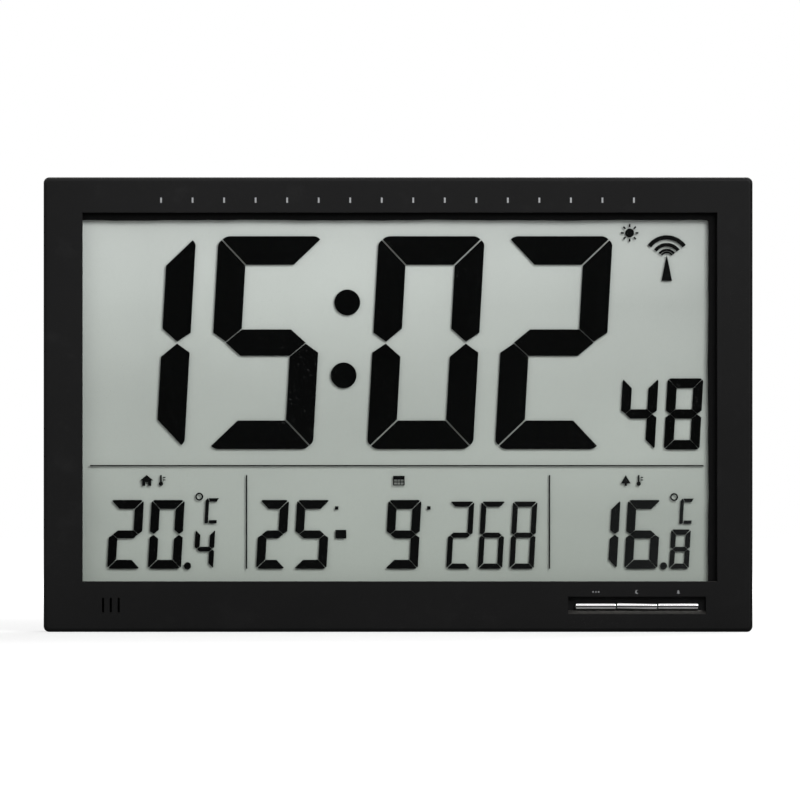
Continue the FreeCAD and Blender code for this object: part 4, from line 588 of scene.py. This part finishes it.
def foam_frame(work, outer, inner, front, back, corner, wave):
    """Foam frame whose free inner edge is rounded and slightly wavy."""
    edge_steps = 5
    waves = ((0.5, 17.0, 0.0), (0.3, 7.3, 1.0), (0.2, 3.1, 2.0))
    (x0, z0), (x1, z1) = outer
    half = (back - front) / 2
    rings = []
    for x, z, out_x, out_z in foam_edge(inner, corner, 3 * MM):
        swing = wave * sum(part * math.sin((x + z) / MM / length + start) for part, length, start in waves)
        far_x = x1 if out_x > 0.01 else x0 if out_x < -0.01 else x
        far_z = z1 if out_z > 0.01 else z0 if out_z < -0.01 else z
        section = [(far_x, back, far_z), (far_x, front, far_z)]
        for i in range(edge_steps + 1):
            angle = -math.pi / 2 + math.pi * i / edge_steps
            reach = swing + half * (1.0 - math.cos(angle)) * 0.7
            section.append((x + out_x * reach, front + half + half * math.sin(angle), z + out_z * reach))
        rings.append(ring(work, section))
    for here, after in zip(rings, rings[1:] + rings[:1]):
        walls(work, here, after)
    bmesh.ops.remove_doubles(work, verts=work.verts, dist=1e-7)
    for face in work.faces:
        face.smooth = True


def bonded_sheet(work, film, glass):
    """Glass edge all round, with the one free surface of the film bonded to its front."""
    (x0, y0, z0), (x1, y1, z1) = glass
    corners = oblong(x0, z0, x1, z1)
    edges = walls(work, ring(work, ((x, y0, z) for x, z in corners)), ring(work, ((x, y1, z) for x, z in corners)))
    if film:
        for face in edges:
            face.material_index = 1
        (x0, y0, z0), (x1, _, z1) = film
        work.faces.new(ring(work, ((x, y0, z) for x, z in oblong(x0, z0, x1, z1))))


def cross_screw(work, x, z, head_r, seat, top, shank_r, tip, turn):
    """Pan-head screw along Y with a cross recess in its head."""
    steps = 24
    head = top - seat
    slot, arm = head_r * 0.13, head_r * 0.6
    profile = [(shank_r * 0.5, tip), (shank_r, tip + shank_r), (shank_r, seat), (head_r, seat),
               (head_r, seat + head * 0.45), (head_r * 0.93, seat + head * 0.72), (head_r * 0.78, seat + head * 0.9)]
    rings = [ring(work, ((px, y, pz) for px, pz in oval(x, z, radius, steps))) for radius, y in profile]
    for low, high in zip(rings, rings[1:]):
        walls(work, low, high)
    work.faces.new(rings[0][::-1])
    corners = []
    for quarter in range(4):
        angle = turn + quarter * math.pi / 2
        c, s = math.cos(angle), math.sin(angle)
        corners += [(x + c * u - s * v, z + s * u + c * v) for u, v in ((arm, -slot), (arm, slot), (slot, slot))]
    rim = ring(work, ((px, top, pz) for px, pz in corners))
    floor = ring(work, ((x + (px - x) * 0.7, top - head * 0.6, z + (pz - z) * 0.7) for px, pz in corners))
    walls(work, rim, floor)
    work.faces.new(floor)
    crown = rings[-1]
    nearest = [min(range(steps), key=lambda n: (crown[n].co.x - px) ** 2 + (crown[n].co.z - pz) ** 2)
               for px, pz in corners]
    for i, first in enumerate(nearest):
        j = (i + 1) % len(rim)
        loop = [crown[(first + n) % steps] for n in range((nearest[j] - first) % steps + 1)]
        work.faces.new([rim[i]] + loop + [rim[j]])


def bell_outline(x, z, size):
    """Small bell with a clapper, as an outline."""
    right = [(0.62, -0.62), (0.62, -0.45), (0.42, -0.22), (0.4, 0.25), (0.28, 0.55), (0.1, 0.7)]
    left = [(-a, b) for a, b in right[::-1]]
    foot = [(-0.18, -0.62), (-0.14, -0.85), (0.14, -0.85), (0.18, -0.62)]
    return [(x + a * size, z + b * size) for a, b in right + left + foot]


def crescent_outline(x, z, size):
    """Crescent moon, as an outline."""
    outer = [(size * 0.8 * math.cos(a), size * 0.8 * math.sin(a))
             for a in (math.radians(55 + 250 * i / 14) for i in range(15))]
    inner = [(size * 0.42 + size * 0.62 * math.cos(a), size * 0.1 + size * 0.66 * math.sin(a))
             for a in (math.radians(250 - 150 * i / 10) for i in range(11))]
    return [(x + a, z + b) for a, b in outer + inner]


def triangle_outline(x, z, size, up):
    """Triangle that points up or down."""
    return [(x - size, z - up * size * 0.6), (x + size, z - up * size * 0.6), (x, z + up * size * 0.9)]


# Sizes and colours

class ClockCaseSettings(bpy.types.PropertyGroup):
    """Colour and grain of the moulded case."""
    colour: bpy.props.FloatVectorProperty(
        name="Case colour", description="Colour of the moulded plastic", subtype="COLOR", size=3,
        min=0.0, max=1.0, default=(0.0062, 0.0062, 0.0064))
    roughness: bpy.props.FloatProperty(
        name="Case roughness", description="Mean roughness of the mould texture", default=0.5,
        min=0.0, max=1.0, subtype="FACTOR")
    grain: bpy.props.FloatProperty(
        name="Grain", description="Waves of the mould texture in a metre", default=2600.0, min=100.0)


class ClockDisplaySettings(bpy.types.PropertyGroup):
    """Colours of the liquid crystal display."""
    ground: bpy.props.FloatVectorProperty(
        name="Reflector colour", description="Colour behind the glass", subtype="COLOR", size=3,
        min=0.0, max=1.0, default=(0.63, 0.67, 0.64))
    lit: bpy.props.FloatVectorProperty(
        name="Segment colour", description="Colour of a lit segment", subtype="COLOR", size=3,
        min=0.0, max=1.0, default=(0.0012, 0.0013, 0.0013))
    veil: bpy.props.FloatProperty(
        name="Film veil", description="Cover of the anti-glare film", default=0.0018, min=0.0, max=1.0,
        subtype="FACTOR")


class ClockFoamSettings(bpy.types.PropertyGroup):
    """Size of the foam around the display."""
    shows_top: bpy.props.FloatProperty(
        name="Shows at the top", description="Foam seen inside the window's upper edge", default=3.9 * MM,
        unit="LENGTH", precision=5)
    shows_right: bpy.props.FloatProperty(
        name="Shows at the right", description="Foam seen inside the window's right edge", default=4.5 * MM,
        unit="LENGTH", precision=5)
    wave: bpy.props.FloatProperty(
        name="Wave", description="Swing of the cut inner edge", default=0.28 * MM, unit="LENGTH", precision=6)


class ClockMarksSettings(bpy.types.PropertyGroup):
    """Printed marks of the front."""
    tick_count: bpy.props.IntProperty(
        name="Ticks", description="Printed ticks over the window", default=16, min=1)
    tick_first: bpy.props.FloatProperty(
        name="First tick", description="Place of the first tick across the face", default=-123.0 * MM,
        unit="LENGTH", precision=4)
    tick_pitch: bpy.props.FloatProperty(
        name="Tick pitch", description="Distance between two ticks", default=16.36 * MM, unit="LENGTH", precision=5)
    tick_height: bpy.props.FloatProperty(
        name="Tick height", description="Height of a tick", default=2.7 * MM, unit="LENGTH", precision=5)
    tick_width: bpy.props.FloatProperty(
        name="Tick width", description="Width of a tick", default=0.9 * MM, unit="LENGTH", precision=5)
    tick_level: bpy.props.FloatProperty(
        name="Tick row", description="Height of the row over the underside", default=224.1 * MM, unit="LENGTH",
        precision=4)
    icon_level: bpy.props.FloatProperty(
        name="Icon row", description="Height of the icons over the underside", default=20.8 * MM,
        unit="LENGTH", precision=4)
    icon_size: bpy.props.FloatProperty(
        name="Icon size", description="Half height of an icon", default=1.3 * MM, unit="LENGTH", precision=5)
    colour: bpy.props.FloatVectorProperty(
        name="Ink", description="Colour of the printed ticks", subtype="COLOR", size=3, min=0.0, max=1.0,
        default=(0.36, 0.37, 0.38))


class ClockStudioSettings(bpy.types.PropertyGroup):
    """Camera and lamps."""
    distance: bpy.props.FloatProperty(
        name="Camera distance", description="From the camera to the face", default=6.0, unit="LENGTH")
    frame_width: bpy.props.FloatProperty(
        name="Frame width", description="Width that the picture takes in at the face", default=415.15 * MM,
        unit="LENGTH", precision=4)
    aim_x: bpy.props.FloatProperty(
        name="Aim across", description="Place across the face at the picture's middle", default=1.0 * MM,
        unit="LENGTH", precision=5)
    aim_z: bpy.props.FloatProperty(
        name="Aim height", description="Height at the picture's middle", default=120.4 * MM, unit="LENGTH",
        precision=4)
    key: bpy.props.FloatProperty(
        name="Key lamp", description="Power of the key lamp", default=17.5, unit="POWER")
    fill: bpy.props.FloatProperty(
        name="Fill lamp", description="Power of the fill lamp", default=4.0, unit="POWER")
    rear: bpy.props.FloatProperty(
        name="Rear lamp", description="Power of the lamp behind the object", default=26.0, unit="POWER")


# Operators

class ClockCaseFinish(bpy.types.Operator):
    """Give the bezel, rear cover, door and legs their moulded plastic"""
    bl_idname = "clock.case_finish"
    bl_label = "Case finish"

    def execute(self, context):
        values = context.scene.clock_case
        black = tuple(values.colour)
        (left, _, foot), (right, _, top) = CAD_BOX
        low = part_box("mode_button")[0]
        # Ledge under the front buttons, which takes painted bounce light from the chrome.
        painted_bounce_ledge = (low[0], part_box("alarm_button")[1][0], low[2] + 0.7 * MM, low[1] + 0.6 * MM, low[1] + 4.1 * MM)
        # Painted light and shade: the bezel is lighter towards its top and towards its left side.
        painted_light_ramps = (("Z", foot, top, 0.54, 1.0), ("X", left, right, 1.18, 0.54))
        give(moulded_plastic("black_case", black, values.roughness, values.grain, painted_light_ramps=painted_light_ramps, painted_bounce_ledge=painted_bounce_ledge),
             "front_bezel")
        give(moulded_plastic("rear_case", tuple(c * 2.4 for c in black), 0.5, values.grain * 0.7, 0.02, 0.2, 0.3, 0.3),
             "rear_cover", "battery_door")
        give(moulded_plastic("leg_plastic", tuple(c * 2.6 for c in black), 0.42, values.grain, 0.01, 0.5, 0.25, 0.3),
             "left_stand_leg", "right_stand_leg")
        give(bright_metal("leg_pin_steel", (0.56, 0.56, 0.57), 0.28), "leg_pins")
        return {"FINISHED"}


class ClockDisplayFinish(bpy.types.Operator):
    """Give the layers of the display their film, glass, crystal and reflector"""
    bl_idname = "clock.display_finish"
    bl_label = "Display finish"

    def execute(self, context):
        values = context.scene.clock_display
        low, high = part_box("rear_reflector")
        film = display_film("polariser_film", (0.72, 0.76, 0.73), values.veil)
        edge = clear_glass("clear_glass", (0.50, 0.62, 0.55), 0.12)
        front = new_piece("display_front", lambda work: bonded_sheet(
            work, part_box("front_polariser"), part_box("front_glass")), film)
        front.data.materials.append(edge)
        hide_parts("front_polariser", "front_glass")
        back = new_piece("display_back", lambda work: bonded_sheet(work, None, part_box("rear_glass")), edge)
        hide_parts("rear_glass")
        give(moulded_plastic("cell_seal", (0.2, 0.23, 0.21), 0.6, 3000.0, 0.004), "edge_seal")
        give(dark_crystal("dark_segment", tuple(values.lit), 2.0, 2.8), "lcd_segments")
        give(dark_crystal("dark_symbol", tuple(c * 2.5 for c in values.lit), 1.1, 2.3), "lcd_symbols")
        give(reflector("grey_reflector", tuple(values.ground), low[2], high[2]), "rear_reflector")
        give(moulded_plastic("white_tray", (0.62, 0.62, 0.59), 0.5, 2000.0, 0.008, 0.1), "lcd_tray")
        give(rubber("grey_elastomer", (0.16, 0.17, 0.17)), "rubber_strip")
        return {"FINISHED"}


class ClockFoamFrame(bpy.types.Operator):
    """Make the foam frame that seats the display behind the window"""
    bl_idname = "clock.foam_frame"
    bl_label = "Foam frame"

    def execute(self, context):
        values = context.scene.clock_foam
        window_right, window_top = 165.5 * MM, 217.6 * MM
        hidden_left, hidden_foot = -164.8 * MM, 25.4 * MM
        corner = 1.1 * MM
        low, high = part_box("window_gasket")
        outer = ((low[0], low[2]), (high[0], high[2]))
        inner = ((hidden_left, hidden_foot), (window_right - values.shows_right, window_top - values.shows_top))
        black = foam("black_foam", (0.0045, 0.0045, 0.0046))
        piece = new_piece("foam_frame", lambda work: foam_frame(work, outer, inner, low[1], high[1], corner,
                                                                values.wave), black)
        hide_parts("window_gasket")
        return {"FINISHED"}


class ClockButtonFinish(bpy.types.Operator):
    """Give the front buttons their chrome and the rear keys their rubber"""
    bl_idname = "clock.button_finish"
    bl_label = "Button finish"

    def execute(self, context):
        groove_drop = 0.15 * MM
        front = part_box("mode_button")[0][1]
        groove_z = centre("mode_button")[2] - groove_drop
        # The chrome gets a black band of painted shade along each button's groove.
        give(bright_metal("chrome", (0.95, 0.95, 0.95), 0.07, 2600.0, 0.12, (front, groove_z)), *FRONT_BUTTONS)
        give(rubber("grey_key", (0.055, 0.055, 0.06)), *REAR_KEYS)
        give(moulded_plastic("plunger_grey", (0.3, 0.3, 0.31), 0.45, 3000.0, 0.004, 0.2),
             "mode_plunger", "snooze_plunger", "alarm_plunger", "down_plunger", "up_plunger", "reset_plunger")
        give(moulded_plastic("switch_black", (0.03, 0.03, 0.032), 0.4, 3000.0, 0.006, 0.2),
             "front_switches", "rear_switches")
        return {"FINISHED"}


class ClockPrintedMarks(bpy.types.Operator):
    """Print the ticks over the window and the icons over the buttons"""
    bl_idname = "clock.printed_marks"
    bl_label = "Printed marks"

    def execute(self, context):
        values = context.scene.clock_marks
        front, back = CAD_BOX[0][1] - PROUD, CAD_BOX[0][1] + SUNK
        level, size = values.icon_level, values.icon_size
        mode_x, snooze_x, alarm_x = [centre(name)[0] for name in FRONT_BUTTONS]
        white = ink("white_ink", tuple(values.colour), 0.9)
        grey = ink("grey_ink", tuple(c * 0.6 for c in values.colour), 0.7)

        def ticks(work):
            for i in range(values.tick_count):
                x = values.tick_first + i * values.tick_pitch
                slab(work, bar(x, values.tick_level, values.tick_width, values.tick_height), front, back)

        def icons(work):
            for i in (-1, 0, 1):
                slab(work, oval(mode_x + i * size * 1.1, level, size * 0.34, 14), front, back)
            slab(work, crescent_outline(snooze_x, level, size), front, back)
            slab(work, bell_outline(alarm_x, level, size), front, back)

        new_piece("printed_ticks", ticks, white)
        new_piece("printed_icons", icons, grey)
        return {"FINISHED"}


class ClockRearMarks(bpy.types.Operator):
    """Print the plain signs beside the rear keys and on the cells"""
    bl_idname = "clock.rear_marks"
    bl_label = "Rear marks"

    def execute(self, context):
        aside, sign_size, dot_r = 7.5 * MM, 1.3 * MM, 0.7 * MM
        door_size, door_drop = 1.9 * MM, 14.5 * MM
        cell_out, arm, stroke = 17.0 * MM, 3.6 * MM, 0.9 * MM
        grey = ink("rear_ink", (0.32, 0.32, 0.33), 0.75)
        back = CAD_BOX[1][1]
        down, up, reset = [(centre(name)[0] + aside, centre(name)[2]) for name in REAR_KEYS]

        def signs(work):
            for outline in (triangle_outline(*down, sign_size, -1), triangle_outline(*up, sign_size, 1),
                            oval(*reset, dot_r)):
                slab(work, outline, back - SUNK, back + PROUD)

        def opening(work):
            _, face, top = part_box("battery_door")[1]
            slab(work, triangle_outline(centre("battery_door")[0], top - door_drop, door_size, -1),
                 face - SUNK, face + PROUD)

        def polarity(work):
            low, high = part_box("cells")
            for sign in (1, -1):
                z = centre("cells")[2] + sign * (high[2] - low[2]) / 4
                plus = sign * cell_out
                for x, width, height in ((plus, arm, stroke), (plus, stroke, arm), (-plus, arm, stroke)):
                    slab(work, bar(x, z, width, height), high[1] - 0.3 * MM, high[1] + 0.004 * MM)

        new_piece("rear_signs", signs, grey)
        new_piece("door_sign", opening, grey, "door")
        new_piece("cell_signs", polarity, ink("cell_ink", (0.6, 0.6, 0.58), 0.9))
        return {"FINISHED"}


class ClockCaseScrews(bpy.types.Operator):
    """Make the case screws with their cross recesses"""
    bl_idname = "clock.case_screws"
    bl_label = "Case screws"

    def execute(self, context):
        head_r, head_h, shank_r = 2.5 * MM, 1.8 * MM, 1.3 * MM
        first_turn, turn_step = 0.4, 0.9
        low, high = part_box("case_screws")
        edge_x = high[0] - head_r
        points = [(x, z) for x in (-edge_x, 0.0, edge_x) for z in (low[2] + head_r, high[2] - head_r)]
        points += [(x, centre("case_screws")[2]) for x in (-edge_x, edge_x)]

        def screws(work):
            for i, (x, z) in enumerate(points):
                cross_screw(work, x, z, head_r, high[1] - head_h, high[1], shank_r, low[1],
                            first_turn + i * turn_step)

        piece = new_piece("case_screws_cross", screws, bright_metal("dark_screw", (0.30, 0.30, 0.31), 0.32))
        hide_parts("case_screws")
        return {"FINISHED"}


class ClockWorksFinish(bpy.types.Operator):
    """Give the boards, aerials and small parts inside the case their finishes"""
    bl_idname = "clock.works_finish"
    bl_label = "Works finish"

    def execute(self, context):
        board = circuit_board("green_board", (0.012, 0.085, 0.03), (0.62, 0.60, 0.52))
        give(board, "main_board", "button_board", "key_board", "receiver_board", "sensor_board")
        give(glossy_drop("black_epoxy", (0.012, 0.012, 0.013)), "epoxy_drop")
        give(moulded_plastic("sounder_black", (0.0025, 0.0025, 0.0025), 0.7, 2600.0, 0.01, 0.1, 0.05, 0.05), "buzzer")
        give(glossy_drop("bead_green", (0.03, 0.09, 0.06)), "thermistor")
        give(glossy_drop("sleeve", (0.02, 0.035, 0.09)), "capacitors")
        give(bright_metal("can_metal", (0.68, 0.68, 0.69), 0.22), "crystals")
        give(moulded_plastic("ferrite", (0.035, 0.035, 0.037), 0.62, 5000.0, 0.01, 0.3), "ferrite_rod")
        give(insulation("red_lead", (0.30, 0.016, 0.012)), "battery_leads", "buzzer_leads")
        give(glossy_drop("enamelled_wire", (0.36, 0.12, 0.04)), "aerial_leads")
        give(insulation("grey_ribbon", (0.36, 0.36, 0.37)), "button_ribbon", "key_ribbon")
        give(wound_wire("copper_winding", (0.62, 0.25, 0.09), "X", 0.3 * MM), "antenna_coil", "sensor_aerial")
        give(bright_metal("bright_steel", (0.58, 0.58, 0.59), 0.26), "board_screws", "tray_screws",
             "button_board_screws", "key_board_screws")
        return {"FINISHED"}


class ClockPowerFinish(bpy.types.Operator):
    """Give the cells and their contacts their finishes"""
    bl_idname = "clock.power_finish"
    bl_label = "Power finish"

    def execute(self, context):
        band_from = 12 * MM
        give(cell_jacket("cell_jacket", (0.014, 0.062, 0.042), (0.42, 0.44, 0.43), (0.66, 0.66, 0.67),
                         centre("cells")[2], band_from), "cells")
        give(bright_metal("nickel", (0.66, 0.63, 0.57), 0.2), "plus_contact", "minus_contact", "bridge_contact")
        return {"FINISHED"}


def studio_floor():
    """Pale floor, which shows white to the camera and keeps the shadow."""
    mesh = bpy.data.meshes.new("studio_floor")
    work = bmesh.new()
    bmesh.ops.create_grid(work, x_segments=4, y_segments=4, size=4.0)
    work.to_mesh(mesh)
    work.free()
    floor = bpy.data.objects.new("studio_floor", mesh)
    bpy.context.scene.collection.objects.link(floor)
    material = bpy.data.materials.new("studio_floor")
    material.use_nodes = True
    tree = material.node_tree
    tree.nodes.clear()
    place = object_point(tree)
    rays = add(tree, "ShaderNodeLightPath").outputs
    seen = calc(tree, "MAXIMUM", rays["Is Camera Ray"], rays["Is Transmission Ray"])
    tone = blend(tree, noise(tree, place, 40.0, 3.0), (0.42, 0.42, 0.42, 1.0), (0.46, 0.46, 0.46, 1.0))
    diffuse = add(tree, "ShaderNodeBsdfDiffuse", {"Color": tone})
    away = add(tree, "ShaderNodeVectorMath", {0: place}, operation="LENGTH").outputs["Value"]
    glow = add(tree, "ShaderNodeEmission", {"Color": WHITE, "Strength": product(
        tree, seen, ramp(tree, away, 0.4, 1.2, 0.62, 1.0))})
    both = add(tree, "ShaderNodeAddShader", {0: diffuse.outputs[0], 1: glow.outputs[0]})
    add(tree, "ShaderNodeOutputMaterial", {"Surface": both.outputs[0]})
    mesh.materials.append(material)


def studio_world(scene):
    """White background for what is seen, and soft grey light for the rest."""
    world = bpy.data.worlds.new("studio_world")
    scene.world = world
    world.use_nodes = True
    tree = world.node_tree
    tree.nodes.clear()
    rays = add(tree, "ShaderNodeLightPath").outputs
    seen = calc(tree, "MAXIMUM", rays["Is Camera Ray"], rays["Is Transmission Ray"])
    height = axes(tree, add(tree, "ShaderNodeTexCoord").outputs["Generated"])["Z"]
    glossy = product(tree, rays["Is Glossy Ray"], ramp(tree, height, 0.08, 0.32, 0.04, 1.0))
    lighting = calc(tree, "SUBTRACT", 1.0, calc(tree, "MAXIMUM", seen, rays["Is Glossy Ray"]))
    level = calc(tree, "ADD", calc(tree, "ADD", seen, glossy), product(tree, lighting, 0.26))
    sky = add(tree, "ShaderNodeBackground", {"Color": WHITE, "Strength": level})
    add(tree, "ShaderNodeOutputWorld", {"Surface": sky.outputs[0]})


def studio_lamp(name, place, aim, size, power):
    """Square soft lamp that looks at a point."""
    light = bpy.data.lights.new(name, "AREA")
    light.shape = "SQUARE"
    light.size = size
    light.energy = power
    lamp = bpy.data.objects.new(name, light)
    lamp.location = place
    lamp.rotation_euler = (Vector(aim) - Vector(place)).to_track_quat("-Z", "Y").to_euler()
    bpy.context.scene.collection.objects.link(lamp)


class ClockStudio(bpy.types.Operator):
    """Set the floor, the lamps, the background and the camera"""
    bl_idname = "clock.studio"
    bl_label = "Studio"

    def execute(self, context):
        values = context.scene.clock_studio
        scene = context.scene
        scene.view_settings.view_transform = "Standard"
        studio_floor()
        studio_world(scene)
        aim = (0.0, 0.0, 118 * MM)
        studio_lamp("key_lamp", (0.66, -1.20, 0.86), aim, 0.8, values.key)
        studio_lamp("fill_lamp", (-0.95, -0.95, 1.05), aim, 1.2, values.fill)
        studio_lamp("rear_lamp", (0.6, 1.4, 1.1), aim, 1.2, values.rear)
        camera = bpy.data.cameras.new("photo_camera")
        camera.sensor_width = 36.0
        camera.lens = camera.sensor_width * values.distance / values.frame_width
        camera.clip_end = 50.0
        holder = bpy.data.objects.new("photo_camera", camera)
        holder.location = (values.aim_x, CAD_BOX[0][1] - values.distance, values.aim_z)
        holder.rotation_euler = (math.pi / 2, 0.0, 0.0)
        scene.collection.objects.link(holder)
        scene.camera = holder
        return {"FINISHED"}


class ClockPanel(bpy.types.Panel):
    """Lists the operators of the clock"""
    bl_idname = "VIEW3D_PT_clock"
    bl_label = "Wall clock"
    bl_space_type = "VIEW_3D"
    bl_region_type = "UI"
    bl_category = "Clock"

    def draw(self, context):
        scene = context.scene
        for operator in OPERATORS:
            self.layout.operator(operator.bl_idname)
        for settings in SETTINGS:
            values = getattr(scene, settings)
            for key in values.bl_rna.properties.keys():
                if key not in ("rna_type", "name"):
                    self.layout.prop(values, key)


SETTINGS = {"clock_case": ClockCaseSettings, "clock_display": ClockDisplaySettings,
            "clock_foam": ClockFoamSettings, "clock_marks": ClockMarksSettings,
            "clock_studio": ClockStudioSettings}
OPERATORS = (ClockStudio, ClockCaseFinish, ClockDisplayFinish, ClockFoamFrame, ClockButtonFinish,
             ClockPrintedMarks, ClockRearMarks, ClockCaseScrews, ClockWorksFinish, ClockPowerFinish)


def register():
    """Add the settings, the operators and the panel."""
    for name, settings in SETTINGS.items():
        bpy.utils.register_class(settings)
        setattr(bpy.types.Scene, name, bpy.props.PointerProperty(type=settings))
    for operator in OPERATORS:
        bpy.utils.register_class(operator)
    bpy.utils.register_class(ClockPanel)


def unregister():
    """Take them away again."""
    bpy.utils.unregister_class(ClockPanel)
    for operator in reversed(OPERATORS):
        bpy.utils.unregister_class(operator)
    for name, settings in SETTINGS.items():
        delattr(bpy.types.Scene, name)
        bpy.utils.unregister_class(settings)


def main():
    """Run every operator in order."""
    register()
    bpy.ops.clock.studio()
    bpy.ops.clock.case_finish()
    bpy.ops.clock.display_finish()
    bpy.ops.clock.foam_frame()
    bpy.ops.clock.button_finish()
    bpy.ops.clock.printed_marks()
    bpy.ops.clock.rear_marks()
    bpy.ops.clock.case_screws()
    bpy.ops.clock.works_finish()
    bpy.ops.clock.power_finish()


if __name__ == "__main__":
    main()
